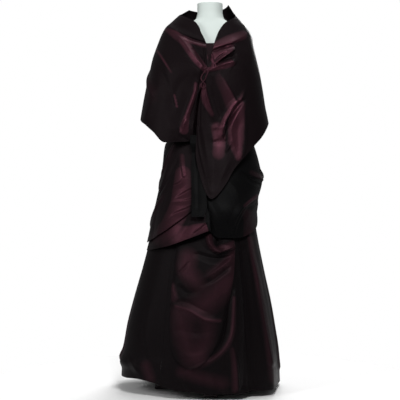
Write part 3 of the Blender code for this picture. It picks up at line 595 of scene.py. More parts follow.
STOLE_LEFT_CREASES = (
    Crease(((160, 26), (168, 27), (180, 32), (192, 37), (204, 41)), (2, 4, 5, 4, 2), (5, 5, 4), (3, 2, 1.2)),
    Crease(((182, 35), (192, 39), (205, 43)), (-2, -7, -7), (1.4, 1.6), (2, 2)),
    Crease(((186, 40), (195, 43.5), (205, 46)), (2, 5, 4), (2.2, 2), (1.6, 1.6)),
    Crease(
        ((170, 30), (179, 36), (187, 44), (192, 52), (198, 60), (206.5, 69.5)),
        (2, 6, 12, 14, 12, 4),
        (6, 5, 4, 3),
        (10, 9, 8, 4),
    ),
    Crease(((194, 49), (199, 57), (205, 67)), (-6, -12, -6), (5, 4, 2), (1.6, 1.8, 1.4)),
    Crease(((204, 46), (205, 56), (206.5, 68)), (4, 5, 3), (1, 1), (1.6, 1.2)),
    Crease(((154, 46), (160, 55), (165, 62), (171, 72)), (1, 4, 4, 1), (2, 2.4), (4, 4)),
    Crease(((150, 52), (158, 66), (166, 82), (170, 100)), (-1, -4, -4, -2), (4, 5), (6, 8)),
    Crease(((173, 92), (175, 100), (178, 110)), (1, 4, 1), (1.6, 1.6), (3, 3)),
    Crease(
        ((197, 82), (195.5, 92), (192, 104), (188, 115), (185.5, 124)),
        (3, 9, 11, 10, 7),
        (2, 2.4, 2.4),
        (5, 6, 6),
    ),
    Crease(((186, 122), (183, 129), (181, 133)), (4, 5, 3), (4, 4), (3, 3)),
    Crease(((182, 137), (187, 141), (193, 140)), (-6, -8, -8), (2, 2), (5, 5)),
    Crease(((192, 74), (183, 80), (176, 90), (171, 108)), (0, -3, -4, -2), (6, 7), (5, 8)),
    Crease(((168, 118), (172, 130), (174, 138)), (1, 4, 3), (5, 5), (5, 6)),
    Crease(((168, 143), (178, 143), (192, 141)), (-4, -16, -18), (14, 16), (10, 10)),
    Crease(((158, 86), (152, 100), (146, 118)), (1, 4, 5), (5, 6), (6, 7)),
)
STOLE_RIGHT_CREASES = (
    Crease(((210, 47), (212, 55), (213.5, 64)), (3, 5, 3), (1.2, 1.2), (1.2, 1.2)),
    Crease(((213, 47.5), (222, 45), (233, 41.5), (244, 36)), (4, 8, 8, 2), (6, 8, 8), (1.8, 2, 3)),
    Crease(((211, 51.5), (222, 48), (233, 44.5)), (-5, -9, -8), (1.2, 1.6), (1.8, 2.4)),
    Crease(((213, 60), (222, 53.5), (232, 48.5)), (2, 6, 7), (5, 5), (3, 3)),
    Crease(((217, 59), (220, 56), (225, 53)), (-2, -5, -3), (1.4, 1.4), (1.4, 1.4)),
    Crease(((212, 67), (219, 60.5), (226, 55), (233, 49.5)), (3, 9, 10, 8), (2, 2.4), (1.1, 1.3)),
    Crease(((215, 66), (222, 61), (233, 56.5)), (-4, -12, -13), (1.6, 4), (1.6, 3)),
    Crease(((209, 70), (217, 66.5), (225, 63.5), (232, 61.5)), (3, 9, 12, 11), (1.6, 2.4), (2.5, 5)),
    Crease(((215, 68.5), (222, 66.5), (229, 65)), (-2, -4, -2), (0.9, 0.9), (1, 1)),
    Crease(((232, 40), (232.5, 50), (232.5, 60), (231.5, 68)), (1, 7, 7, 1), (1.2, 1.2), (5, 5)),
    Crease(((205, 58), (206.5, 64), (207.5, 69)), (3, 5, 3), (1.2, 1.2), (1.4, 1.4)),
    Crease(((205, 86), (207, 96), (210, 106), (213, 115)), (6, 10, 9, 3), (1.3, 1.5), (5, 5)),
    Crease(((212, 80), (214, 94), (220, 112), (226, 124)), (-2, -6, -6, -3), (4, 4), (5, 4)),
    Crease(((222, 77), (228, 88), (235, 101)), (1, 5, 5), (2, 3), (8, 10)),
    Crease(
        ((245, 90), (242, 98), (234, 104), (228, 115), (223.5, 126), (222.5, 134)),
        (1, 5, 10, 11, 10, 5),
        (2, 1.6),
        (4, 6),
    ),
    Crease(
        ((243, 101), (237, 109), (231, 119), (226, 128), (224.5, 136), (228, 142), (232, 148)),
        (-5, -12, -14, -12, -10, -7, -2),
        (2.2, 1.6),
        (2.2, 1.6),
    ),
    Crease(((238, 108), (233, 120), (230, 130), (231, 140), (235, 152)), (3, 8, 8, 7, 2), (8, 7), (2, 2)),
    Crease(((244, 110), (244.5, 130), (244, 150), (240, 158)), (2, 6, 6, 2), (3, 3), (6, 6)),
    Crease(((212, 128), (218, 127), (224, 127.5)), (2, 4, 3), (3, 3), (2.5, 2.5)),
    Crease(((213, 142), (219, 141), (225, 142)), (-2, -6, -4), (1.5, 1.5), (4, 4)),
    Crease(((227, 150), (229, 146), (230, 142)), (3, 5, 2), (2, 2), (2, 2)),
    Crease(((247, 36), (250, 48), (252, 60)), (3, 6, 3), (4, 4), (6, 6)),
    Crease(((198, 128), (200, 150), (205, 172), (210, 192)), (5, 8, 6, 2), (6, 5, 3), (2, 2)),
    Crease(((214, 160), (214, 172), (213, 186)), (-1, -3, -1), (7, 6), (7, 6)),
    Crease(((232, 156), (224, 172), (216, 192)), (1, 3, 1), (6, 5), (7, 6)),
)
STOLE_ROUND_CREASES = (
    Crease(((-104, 1.300), (-84, 1.235), (-66, 1.170)), (2, 7, 6), (4, 4), (5, 6)),
    Crease(((88, 1.420), (104, 1.340), (118, 1.260)), (3, 6, 4), (4, 5), (4, 5)),
    Crease(((-150, 1.330), (-145, 1.200), (-140, 1.080)), (2, 8, 10), (5, 7), (4, 6)),
    Crease(((152, 1.330), (150, 1.200), (146, 1.080)), (2, 8, 10), (4, 6), (5, 7)),
    Crease(((180, 1.440), (176, 1.300), (172, 1.100)), (-2, -4, -7), (4, 6), (4, 6)),
    Crease(((-179, 1.500), (-150, 1.470), (-118, 1.440)), (2, 5, 3), (3, 3), (4, 4)),
    Crease(((178, 1.470), (150, 1.440), (120, 1.430)), (1, 4, 2), (3, 3), (4, 4)),
    Crease(((-128, 1.360), (-120, 1.240), (-116, 1.120)), (0, -5, -6), (4, 5), (5, 6)),
    Crease(((126, 1.360), (122, 1.240), (116, 1.110)), (0, -5, -6), (4, 5), (4, 5)),
)
STOLE_END_CREASES = (
    Crease(((196, 142), (197, 170), (198, 208)), (-2, -5, -2), (3, 3), (3, 3)),
)

# Painted highlights: the burgundy colour is painted where light catches the cloth, as lines with the width
# of the painted highlight on each side. Here the rise is how strong the painted highlight is. Everywhere
# else the cloth takes more of its near-black colour, by the share given for the piece.
STOLE_PAINTED_LIGHTS = (
    Crease(((167, 29), (176, 33), (184, 38)), (0.6, 0.9, 0.5), (1.5, 2, 1.5), (3, 6, 7)),
    Crease(((185, 38.5), (195, 42.5), (205, 45.5)), (0.8, 0.8, 0.7), (2, 2), (2, 2)),
    Crease(((184, 40), (190, 50), (197, 60), (206, 70)), (1, 1, 1, 1), (3.5, 4, 4, 3), (5, 4.5, 4, 3)),
    Crease(((213, 47), (224, 43), (234, 39), (243, 35.5)), (1, 1, 1, 0.8), (4, 6, 5), (3, 4, 4)),
    Crease(((212, 57), (222, 51.5), (231, 48)), (1, 1, 1), (5, 4), (4, 3)),
    Crease(((213, 66), (222, 58), (231, 51)), (1, 1, 0.9), (2, 2), (1, 1.2)),
    Crease(((209, 69.5), (218, 66.5), (226, 64.5), (231, 62.5)), (1, 1, 1, 1), (2, 3, 3), (2, 3.5, 4)),
    Crease(((155, 48), (162, 58), (171, 72)), (0.5, 0.8, 0.2), (0.8, 0.8), (0.9, 0.9)),
    Crease(((174.5, 95), (177, 107)), (0.6, 0.8), (0.7, 0.7), (0.8, 0.8)),
    Crease(
        ((196, 84), (195, 93), (190, 107), (186, 120), (184, 130)),
        (0.6, 1, 1, 1.1, 1.2),
        (1.5, 1.8, 2, 4.5),
        (2, 2.2, 2.4, 4.5),
    ),
    Crease(
        ((203, 86), (204.5, 95), (207.5, 105), (212, 114)),
        (0.8, 0.9, 0.9, 0.5),
        (3, 3.5, 2),
        (3.5, 4, 2),
    ),
    Crease(((223, 79), (229, 90), (235, 103)), (0.2, 0.5, 0.6), (1.5, 2), (8, 10)),
    Crease(
        ((243, 92), (240, 99.5), (232, 108), (225, 120), (222, 133)),
        (0.1, 0.7, 1, 1, 0.8),
        (1, 1.5),
        (1.5, 3.5),
    ),
    Crease(((237, 106), (236, 120), (236, 140), (239, 157)), (0.9, 1, 1, 0.7), (8, 9, 8, 3), (5, 8, 8, 4)),
    Crease(((217, 128), (219, 141), (218, 153)), (0.7, 0.9, 0.5), (6, 7), (6, 6)),
    Crease(((210, 46), (213.5, 64)), (0.8, 1), (1.3, 1.3), (1.3, 1.3)),
)
DRAPE_PAINTED_LIGHTS = (
    Crease(((182, 156), (183, 176)), (0.3, 0.8), (2.5, 3), (2.5, 3)),
    Crease(
        ((183, 174), (182, 190), (180, 206), (172, 224), (158, 238)),
        (0.7, 1, 1, 0.7, 0.2),
        (8, 10, 10, 8),
        (8, 10, 11, 8),
    ),
    Crease(((205, 226), (194, 229), (184, 235), (168, 243)), (0.9, 1, 1, 0.2), (7, 8), (3, 5, 14, 7)),
)
POUF_PAINTED_LIGHTS = (
    Crease(((245, 206), (251, 201), (257, 196)), (0.4, 1, 0.8), (1.8, 1.8), (1.8, 1.8)),
    Crease(((249, 214), (251, 222), (251, 238)), (0.3, 0.4, 0.5), (5, 7), (7, 8)),
    Crease(((252, 172), (258, 175), (263, 178)), (0.2, 0.4, 0.3), (2, 2), (3, 3)),
)
SWAG_PAINTED_LIGHTS = (
    Crease(((209, 236), (210, 243), (213.5, 248.5), (219, 251)), (1.5, 1.6, 1.6, 1.5), (4, 3), (4, 3)),
    Crease(((221, 249), (229, 246.5), (240, 242)), (1.5, 1.5, 1.5), (4.5, 4.5), (4, 4.5)),
    Crease(((236, 252), (226, 264), (212, 275)), (1.2, 1.1, 0.6), (4, 5), (6, 8)),
    Crease(((235, 262), (233, 276), (224, 290)), (0.8, 0.9, 0.8), (2, 4), (9, 12)),
    Crease(((188, 258), (187, 270), (196, 282)), (1.2, 1.4, 0.8), (12, 12), (12, 12)),
    Crease(((171, 286), (174, 298)), (1, 1), (5, 5), (5, 5)),
    Crease(((224, 288), (212, 298), (200, 308)), (0.9, 1, 0.9), (15, 17), (16, 18)),
    Crease(
        ((176, 307), (190, 311.5), (200, 317), (208, 320.5), (220, 321)),
        (0.7, 1, 1, 1, 1),
        (2.4, 2.4),
        (1.8, 1.8),
    ),
    Crease(((180, 314), (184, 336), (192, 358)), (0.8, 0.8, 0.8), (16, 18), (14, 14)),
    Crease(((208, 326), (206, 342), (200, 356)), (0.6, 0.7, 0.6), (12, 10), (12, 10)),
)
SKIRT_PAINTED_LIGHTS = (
    Crease(
        ((250, 238), (254, 262), (260, 295), (266, 330), (272, 380)),
        (0.9, 0.8, 0.5, 0.5, 0.4),
        (4, 6),
        (3, 4),
    ),
    Crease(
        ((234, 298), (233, 322), (231, 336), (224, 349), (210, 360), (190, 369)),
        (0.8, 0.9, 1, 0.8, 0.6, 0.5),
        (2.4, 5),
        (2, 3),
    ),
    Crease(((233, 350), (235, 366), (236, 389)), (0.4, 0.8, 0.8), (2.5, 3), (4, 5)),
    Crease(((182, 372), (200, 378), (222, 384)), (0.5, 0.6, 0.5), (8, 10), (8, 8)),
    Crease(((146, 366), (150, 378)), (0.6, 0.6), (7, 7), (7, 7)),
)


def column(rows, key, name, at):
    """A table's column, read smoothly at any value of its key column.

    Between two rows it is the cubic with their slopes, and each slope is a mean of those on both sides,
    or flat at a peak, so it never overshoots.
    """
    keys = np.array([getattr(row, key) for row in rows], float)
    values = np.array([getattr(row, name) for row in rows], float)
    order = np.argsort(keys)
    keys, values = keys[order], values[order]
    steps = np.diff(keys)
    slopes = np.diff(values) / steps
    tangents = np.empty(len(keys))
    tangents[0], tangents[-1] = slopes[0], slopes[-1]
    turning = slopes[:-1] * slopes[1:] <= 0
    weight = steps[1:] + 2 * steps[:-1], 2 * steps[1:] + steps[:-1]
    with np.errstate(divide="ignore", invalid="ignore"):
        mean = (weight[0] + weight[1]) / (weight[0] / slopes[:-1] + weight[1] / slopes[1:])
    tangents[1:-1] = np.where(turning, 0.0, mean)
    at = np.clip(np.asarray(at, float), keys[0], keys[-1])
    k = np.clip(np.searchsorted(keys, at) - 1, 0, len(steps) - 1)
    t = (at - keys[k]) / steps[k]
    return (
        values[k] * (1 + 2 * t) * (1 - t) ** 2
        + values[k + 1] * t * t * (3 - 2 * t)
        + tangents[k] * steps[k] * t * (1 - t) ** 2
        + tangents[k + 1] * steps[k] * t * t * (t - 1)
    )


def rounded(angle, side, depth, squareness):
    """Radius of a rounded section whose half sizes are side (along X) and depth (along Y).

    It is ((|sin| / side) ** squareness + (|cos| / depth) ** squareness) ** (-1 / squareness).
    """
    a = np.radians(angle)
    across = np.abs(np.sin(a)) / side
    along = np.abs(np.cos(a)) / depth
    return (across**squareness + along**squareness) ** (-1 / squareness)


def wrap(angle):
    """The same angle between -180 and 180."""
    return (np.asarray(angle, float) + 180) % 360 - 180


def reach(rows, squareness, angle, height):
    """Radius of a section table's outer face."""
    wrapped = wrap(angle)
    side = np.where(
        wrapped < 0,
        column(rows, "height", "left", height),
        column(rows, "height", "right", height),
    )
    depth = np.where(
        np.abs(wrapped) < 90,
        column(rows, "height", "front", height),
        column(rows, "height", "back", height),
    )
    return rounded(wrapped, side, depth, squareness)


def place(angle, radius, height):
    """Points at an angle, a radius and a height: radius * sin along X, and radius * cos towards the front."""
    a = np.radians(angle)
    return np.stack(
        [radius * np.sin(a), -radius * np.cos(a), np.broadcast_to(height, np.shape(radius))],
        axis=-1,
    )


def smooth_step(low, high, at):
    """0 below low, 1 above high, and the smooth ramp t * t * (3 - 2 * t) between them."""
    t = np.clip((np.asarray(at, float) - low) / (high - low), 0, 1)
    return t * t * (3 - 2 * t)


def seen(points):
    """Where points show in the camera's frame: steps across and down from its top left corner."""
    scale = VIEW_AWAY / (VIEW_AWAY + points[..., 1]) / FRAME_STEP
    across = FRAME_MIDDLE + (points[..., 0] - VIEW_X) * scale
    return across, FRAME_MIDDLE - (points[..., 2] - VIEW_Z) * scale


def round_the_axis(angle, height):
    """Where points lie when the cloth is unrolled: steps round from the front and steps down."""
    return wrap(angle) * ROUND_STEP, -np.asarray(height, float) / FRAME_STEP


def curve_through(line, steps=6):
    """More points on a smooth curve through a few: on each stretch, the cubic that keeps the slopes."""
    points = np.array(line, float)
    if len(points) < 3:
        return points
    ends = np.vstack([2 * points[0] - points[1], points, 2 * points[-1] - points[-2]])
    t = np.linspace(0, 1, steps, endpoint=False)[:, None]
    made = []
    for before, start, end, after in zip(ends, ends[1:], ends[2:], ends[3:]):
        made.append(
            0.5
            * (
                2 * start
                + (end - before) * t
                + (2 * before - 5 * start + 4 * end - after) * t**2
                + (3 * start - before - 3 * end + after) * t**3
            )
        )
    return np.vstack([*made, points[-1]])


def along_row(values, share):
    """A row of values read evenly from its first to its last."""
    return np.interp(share, np.linspace(0, 1, len(values)), values)


def nearness(crease, line, across, down):
    """How near points are to a crease, 1 on its line and 0 at the foot of its slope, and how far along."""
    run = np.diff(line, axis=0)
    length = np.linalg.norm(run, axis=1)
    gone = np.concatenate([[0], np.cumsum(length)])
    away = np.stack([across, down], axis=-1)[:, None] - line[:-1]
    t = np.clip((away * run).sum(axis=-1) / length**2, 0, 1)
    distance = np.linalg.norm(away - t[..., None] * run, axis=-1)
    nearest = distance.argmin(axis=1)
    pick = np.arange(len(nearest)), nearest
    share = (gone[nearest] + t[pick] * length[nearest]) / gone[-1]
    side = run[nearest, 0] * away[pick][:, 1] - run[nearest, 1] * away[pick][:, 0]
    width = np.where(side > 0, along_row(crease.right, share), along_row(crease.left, share))
    off = np.sqrt(distance[pick] ** 2 + CREST**2) - CREST
    return np.clip(1 - off / width, 0, 1), share


def crease_rise(creases, across, down, crisp=CRISP):
    """How far the creases lift the cloth at each point: the sum of rise * nearness ** crisp."""
    lift = np.zeros(np.shape(across))
    for crease in creases:
        line = curve_through(crease.line)
        far = max(*crease.left, *crease.right)
        low, high = line.min(axis=0) - far, line.max(axis=0) + far
        near = (across > low[0]) & (across < high[0]) & (down > low[1]) & (down < high[1])
        if near.any():
            close, share = nearness(crease, line, across[near], down[near])
            lift[near] += along_row(crease.rise, share) * close**crisp
    return lift


def unrolled(creases):
    """Creases placed in degrees and metres of height, in steps."""
    made = []
    for crease in creases:
        made.append(crease._replace(line=tuple((a * ROUND_STEP, -h / FRAME_STEP) for a, h in crease.line)))
    return made


def creased(angle, height, radius, front, round_it=()):
    """The radius with its creases: those of the front view, and those placed round the axis."""
    across, down = seen(place(angle, radius, height))
    facing = smooth_step(0.0, FACES_FRONT, np.cos(np.radians(wrap(angle))))
    radius = radius + MILLIMETRE * crease_rise(front, across, down) * facing
    across, down = np.broadcast_arrays(*round_the_axis(angle, height))
    return radius + MILLIMETRE * crease_rise(unrolled(round_it), across, down)


def ridge_lights(creases):
    """Broad lights on those creases placed round the axis that are ridges."""
    made = []
    for crease in unrolled(creases):
        if max(crease.rise) > 0:
            left, right = RIDGE_LIGHT * np.array(crease.left), RIDGE_LIGHT * np.array(crease.right)
            made.append(crease._replace(rise=RIDGE_SHARES, left=left, right=right))
    return made


def painted_light_share(points, painted_lights, round_it, shares):
    """The painted shade: a plain share of the near-black colour, less where painted highlights lie on it.

    The highlights are those of the front view, and those painted on the ridges of the sides and the back.
    """
    across, down = seen(points)
    lit = shares.lit * np.clip(crease_rise(painted_lights, across, down, shares.crisp), 0, 1)
    front = smooth_step(LIGHTS_END, LIGHTS_FULL, points[..., 1])
    angle = np.degrees(np.arctan2(points[..., 0], -points[..., 1]))
    across, down = round_the_axis(angle, points[..., 2])
    ridges = shares.ridges * np.clip(crease_rise(ridge_lights(round_it), across, down, LIT_SOFT), 0, 1)
    return shares.plain * (1 - lit * front) * (1 - ridges * (1 - RIDGES_HELD * front))


def ease_out(radius, floor, soft=0.002):
    """The larger of two radii, with a soft bend of that size where one takes over from the other.

    It is half of their sum and of the root of their difference squared plus the bend's size squared.
    """
    return 0.5 * (radius + floor + np.sqrt((radius - floor) ** 2 + soft**2))


def form_skin(angle, height):
    """Radius of the dress form."""
    return reach(FORM, FORM_SQUARENESS, angle, height)


def bodice_skin(angle, height):
    """Radius of the bodice's outer face."""
    return form_skin(angle, height) + FORM_GAP + CLOTH


def skirt_skin(angle, height):
    """The skirt's outer face: its section table, flutes that grow to the hem, and its creases.

    A flute adds depth * growth * exp(-(off / width) ** 2), off being the angle from its middle.
    """
    radius = reach(SKIRT, SKIRT_SQUARENESS, angle, height)
    growth = smooth_step(0, 1, (FLUTE_START - height) / (FLUTE_START - FLUTE_FULL))
    for flute in SKIRT_FLUTES:
        middle = flute.angle + flute.lean * growth
        off = wrap(np.asarray(angle, float) - middle)
        radius = radius + flute.depth * growth * np.exp(-((off / flute.width) ** 2))
    radius = creased(angle, height, radius, SKIRT_CREASES, SKIRT_ROUND_CREASES)
    near = form_skin(angle, height) + FORM_GAP + SEAT_LAYERS * CLOTH
    return np.where(np.asarray(height) > FORM_BOTTOM, ease_out(radius, near), radius)


def skirt_hem(angle):
    """Height of the skirt's hem."""
    return column(SKIRT_HEM, "angle", "height", wrap(angle))


def sewn_down(angle, height, radius, free, sewn):
    """Brings the radius in to the bodice or skirt beneath: at the waist, and from one angle to the next."""
    under = np.where(height > DROP_WAIST, bodice_skin(angle, height), skirt_skin(angle, height))
    seat = under + CLOTH
    loose = 1 - smooth_step(0, 1, (np.abs(angle) - free) / (sewn - free))
    waist = 1 - smooth_step(WAIST_FREE, WAIST_SEWN, height)
    return seat + (radius - seat) * np.minimum(loose, waist)


def clear_of(angle, height, radius, layers, clearance):
    """The radius, eased out wherever the cloth would come too near to a layer beneath it."""
    for layer in layers:
        radius = ease_out(radius, layer(angle, height) + clearance)
    return radius


def drape_lower_skin(angle, height):
    """The lower layer of the left drape: the overskirt's section, moved in under the upper layer."""
    radius = reach(OVERSKIRT, SKIRT_SQUARENESS, angle, height) - DRAPE_LAYERS_APART
    radius = creased(angle, height, radius, DRAPE_LOWER_CREASES, DRAPE_ROUND_CREASES)
    radius = sewn_down(angle, height, radius, DRAPE_FREE, DRAPE_SEWN)
    return clear_of(angle, height, radius, (skirt_skin,), LAYER_GAP)


def drape_upper_skin(angle, height):
    """The ruched left drape: diagonal folds that fan out from under the stole's end."""
    radius = reach(OVERSKIRT, SKIRT_SQUARENESS, angle, height)
    radius = creased(angle, height, radius, DRAPE_UPPER_CREASES, DRAPE_ROUND_CREASES)
    radius = sewn_down(angle, height, radius, DRAPE_FREE, DRAPE_SEWN)
    lower = np.where(height < DRAPE_LOWER_TOP + ABOVE_TOP, drape_lower_skin(angle, height), 0.0)
    radius = ease_out(radius, lower + LAYER_GAP)
    return clear_of(angle, height, radius, (bodice_under, skirt_skin), LAYER_GAP)


def pouf_skin(angle, height):
    """The pouf: the overskirt's section, swelling out low on the front, with its own folds.

    The swell is exp(-(a ** 2 + h ** 2)), a and h being how far a point is from its middle round and up.
    """
    radius = reach(OVERSKIRT, SKIRT_SQUARENESS, angle, height)
    off_angle = (angle - POUF_CENTRE_ANGLE) / POUF_HALF_ANGLE
    off_height = (height - POUF_CENTRE_HEIGHT) / POUF_HALF_HEIGHT
    radius = radius + POUF_BULGE * np.exp(-(off_angle**2 + off_height**2))
    return creased(angle, height, radius, POUF_CREASES, POUF_ROUND_CREASES)


def drape_beside(angle, height):
    """The lower drape's outer face where the pouf's left edge lies on it, and nothing further right."""
    here = smooth_step(BESIDE_NONE, BESIDE_FULL, angle) * (height < DRAPE_LOWER_TOP + ABOVE_TOP)
    return drape_lower_skin(angle, height) * here


def bodice_under(angle, height):
    """The bodice's outer face, and nothing above its top edge."""
    return np.where(height < BODICE_TOP + ABOVE_TOP, bodice_skin(angle, height), 0.0)


def overskirt_under(angle, height):
    """The pouf's or the drape's outer face under the stole, and nothing above their tops."""
    left, right = drape_upper_skin(angle, height), pouf_skin(angle, height)
    return np.where(height < DRAPE_TOP, np.where(angle < BESIDE_FULL, left, right), 0.0)


def between_edges(top_angle, top_height, hem_angle, hem_height, rows):
    """Angle and height of a grid that runs straight from each point of one edge to the other edge's."""
    downs = np.linspace(0, 1, rows)[:, None]
    angle = top_angle + (hem_angle - top_angle) * downs
    height = top_height + (hem_height - top_height) * downs
    return angle, height, downs


def under_hem(hem_rows, top, columns, rows):
    """Angle and height of a piece that hangs from one height to a hem given as points along it."""
    shares = np.linspace(0, 1, columns)
    angles = column(hem_rows, "along", "angle", shares)
    hem = column(hem_rows, "along", "height", shares)
    if angles[0] > angles[-1]:
        angles, hem, shares = angles[::-1], hem[::-1], shares[::-1]
    angle, height, downs = between_edges(angles, top, angles, hem, rows)
    return np.broadcast_to(angle, height.shape), height, shares[None, :], downs


def drape_lower_points(columns=180, rows=90):
    """The lower layer's grid, from under the upper layer to its own hem."""
    angle, height, _, _ = under_hem(DRAPE_LOWER_HEM, DRAPE_LOWER_TOP, columns, rows)
    return place(angle, drape_lower_skin(angle, height), height)


def drape_upper_points(columns=210, rows=200):
    """The upper layer's grid, from the waist seam to its hem."""
    angle, height, _, _ = under_hem(DRAPE_UPPER_HEM, DRAPE_TOP, columns, rows)
    return place(angle, drape_upper_skin(angle, height), height)


def pouf_points(columns=190, rows=190):
    """The pouf swells out and rolls under at its lower edge, where it comes back towards the skirt."""
    angle, height, _, downs = under_hem(POUF_HEM, DRAPE_TOP, columns, rows)
    radius = pouf_skin(angle, height)
    rolled = smooth_step(POUF_ROLL_FROM, POUF_ROLL_TO, downs) ** POUF_ROLL_POWER
    under = skirt_skin(angle, height) + POUF_ROLL_GAP
    radius = radius + (under - radius) * rolled
    radius = sewn_down(angle, height, radius, POUF_FREE, POUF_SEWN)
    radius = clear_of(angle, height, radius, (bodice_under, skirt_skin, drape_beside), LAYER_GAP)
    return place(angle, radius, height)


def swag_points(columns=190, rows=230):
    """The front swag: balloons out from the skirt, and is held close to it along its lower edge.

    Its swell is the root of a sine across times a sine down, and its creases fade towards its edges.
    """
    angle, height, shares, downs = under_hem(SWAG_HEM, SWAG_TOP, columns, rows)
    down_it = SWAG_SWELL_START + SWAG_SWELL_REACH * downs
    swell = np.sin(np.pi * shares) ** 0.5 * np.sin(np.pi * down_it)
    bare = skirt_skin(angle, height) + SWAG_GAP + SWAG_BULGE * swell
    shown = SWAG_EDGE_CREASES + (1 - SWAG_EDGE_CREASES) * np.minimum(1, 2 * swell)
    radius = bare + (creased(angle, height, bare, SWAG_CREASES) - bare) * shown
    radius = clear_of(angle, height, radius, (skirt_skin,), SWAG_GAP)
    return place(angle, radius, height)


def stole_half(top_rows, hem_rows, pleats, creases, columns, rows):
    """Half of the stole, from the pinch to the centre back, with the pleats that fan out of the pinch.

    A pleat adds rise * exp(-(off / width) ** 2), off being how far down the cloth a point is from it.
    """
    shares = np.linspace(0, 1, columns) ** PINCH_CROWDING
    angle, height, downs = between_edges(
        column(top_rows, "along", "angle", shares),
        column(top_rows, "along", "height", shares),
        column(hem_rows, "along", "angle", shares),
        column(hem_rows, "along", "height", shares),
        rows,
    )
    radius = reach(STOLE, STOLE_SQUARENESS, angle, height)
    for pleat in pleats:
        faded = smooth_step(PLEAT_FADE * pleat.reach, pleat.reach, shares)
        grown = smooth_step(0.0, PLEAT_FULL, shares) * (1 - faded)
        shape = np.exp(-(((downs - pleat.across) / pleat.width) ** 2))
        radius = radius + pleat.rise * shape * grown
    radius = creased(angle, height, radius, creases, STOLE_ROUND_CREASES)
    layers = (form_skin, bodice_under, overskirt_under)
    radius = clear_of(angle, height, radius, layers, STOLE_CLOTH + LAYER_GAP)
    return place(angle, radius, height)


def stole_points(columns=185, rows=190):
    """The stole in one piece: from the right pinch round the back of the neck to the left one."""
    size = columns, rows
    right = stole_half(STOLE_RIGHT_TOP, STOLE_RIGHT_HEM, RIGHT_PLEATS, STOLE_RIGHT_CREASES, *size)
    left = stole_half(STOLE_LEFT_TOP, STOLE_LEFT_HEM, LEFT_PLEATS, STOLE_LEFT_CREASES, *size)
    return np.concatenate([right, left[:, -2::-1]], axis=1)


def stole_end_points(columns=40, rows=110):
    """The stole's left end: a strip that hangs between two side edges, narrowing to its tip."""
    tall = np.linspace(STOLE_END[0].height, STOLE_END[-1].height, rows)
    left = column(STOLE_END, "height", "left", tall)[:, None]
    right = column(STOLE_END, "height", "right", tall)[:, None]
    angle = left + (right - left) * np.linspace(0, 1, columns)
    height = np.broadcast_to(tall[:, None], angle.shape)
    radius = column(STOLE_END, "height", "reach", tall)[:, None] + 0 * angle
    radius = creased(angle, height, radius, STOLE_END_CREASES)
    behind = reach(STOLE, STOLE_SQUARENESS, angle, height) - STOLE_CLOTH + SEAM
    radius = behind + (radius - behind) * (1 - smooth_step(END_FREE, END_TUCKED, height))
    return place(angle, radius, height)


def panel_angles(panel, step, seam_radius):
    """Angles of a panel's columns, with half a seam's gap taken off at each end."""
    half = math.degrees(SHOWN_SEAM / 2 / seam_radius)
    inside = np.arange(panel.start + step, panel.end, step)
    close = step * np.array(SEAM_COLUMNS)
    return np.concatenate([panel.start + half + close, inside, panel.end - half - close[::-1]])


def arc_lengths(points, axis):
    """Distance along the cloth from its first row or column to each point."""
    steps = np.linalg.norm(np.diff(points, axis=axis), axis=-1)
    start = np.zeros_like(np.take(steps, [0], axis=axis))
    return np.concatenate([start, np.cumsum(steps, axis=axis)], axis=axis)


def half_of(count):
    """Every second row or column of a grid, and always its last."""
    kept = np.arange(0, count, 2)
    return kept if kept[-1] == count - 1 else np.append(kept, count - 1)


def quads(index, flip):
    """The four corners of each square of a grid of point numbers."""
    corners = [index[:-1, :-1], index[1:, :-1], index[1:, 1:], index[:-1, 1:]]
    return np.stack(corners[::-1] if flip else corners, axis=-1).reshape(-1, 4)


def cloth_mesh(name, outer, thickness, turned=0.0):
    """A closed thin shell: the grid, a coarser one moved in square to the cloth, and a rim round both.

    The inner face has every second row and column of the outer one. The UV map holds metres along the
    cloth. One attribute holds its painted shade and highlights, and the other how far its nearest edge is.
    """
    rows, columns = outer.shape[:2]
    normal = np.cross(np.gradient(outer, axis=0), np.gradient(outer, axis=1))
    inner = outer - normal / np.linalg.norm(normal, axis=-1, keepdims=True) * thickness
    tall, wide = half_of(rows), half_of(columns)
    points = np.concatenate([outer.reshape(-1, 3), inner[np.ix_(tall, wide)].reshape(-1, 3)])
    index = np.arange(rows * columns).reshape(rows, columns)
    behind = rows * columns + np.arange(len(tall) * len(wide)).reshape(len(tall), len(wide))
    faces = quads(index, False).tolist() + quads(behind, True).tolist()
    sides = (
        (index[0, :], behind[0, :], wide),
        (index[:, -1], behind[:, -1], tall),
        (index[-1, ::-1], behind[-1, ::-1], columns - 1 - wide[::-1]),
        (index[::-1, 0], behind[::-1, 0], rows - 1 - tall[::-1]),
    )
    for front, back, kept in sides:
        for start, end, low, high in zip(kept, kept[1:], back, back[1:]):
            faces.append([*front[start : end + 1].tolist(), int(high), int(low)])
    mesh = bpy.data.meshes.new(name)
    mesh.from_pydata(points.tolist(), [], faces)
    mesh.shade_smooth()
    mesh.set_sharp_from_angle(angle=math.radians(SHARP_ANGLE))
    across, down = arc_lengths(outer, 1), arc_lengths(outer, 0)
    from_edge = np.minimum.reduce([across, across[:, -1:] - across, down, down[-1:] - down])
    along = np.stack([across, down], axis=-1)
    along = np.concatenate([along.reshape(-1, 2), along[np.ix_(tall, wide)].reshape(-1, 2)])
    corners = np.empty(len(mesh.loops), np.int32)
    mesh.loops.foreach_get("vertex_index", corners)
    uv = mesh.uv_layers.new(name=CLOTH_UV)
    uv.data.foreach_set("uv", along[corners].astype(np.float32).ravel())
    for attribute, values in ((PAINTED_SHADE, np.broadcast_to(turned, (rows, columns))), (SEWN, from_edge)):
        made = mesh.attributes.new(attribute, "FLOAT", "POINT")
        values = np.concatenate([values.reshape(-1), values[np.ix_(tall, wide)].reshape(-1)])
        made.data.foreach_set("value", values.astype(np.float32))
    return mesh


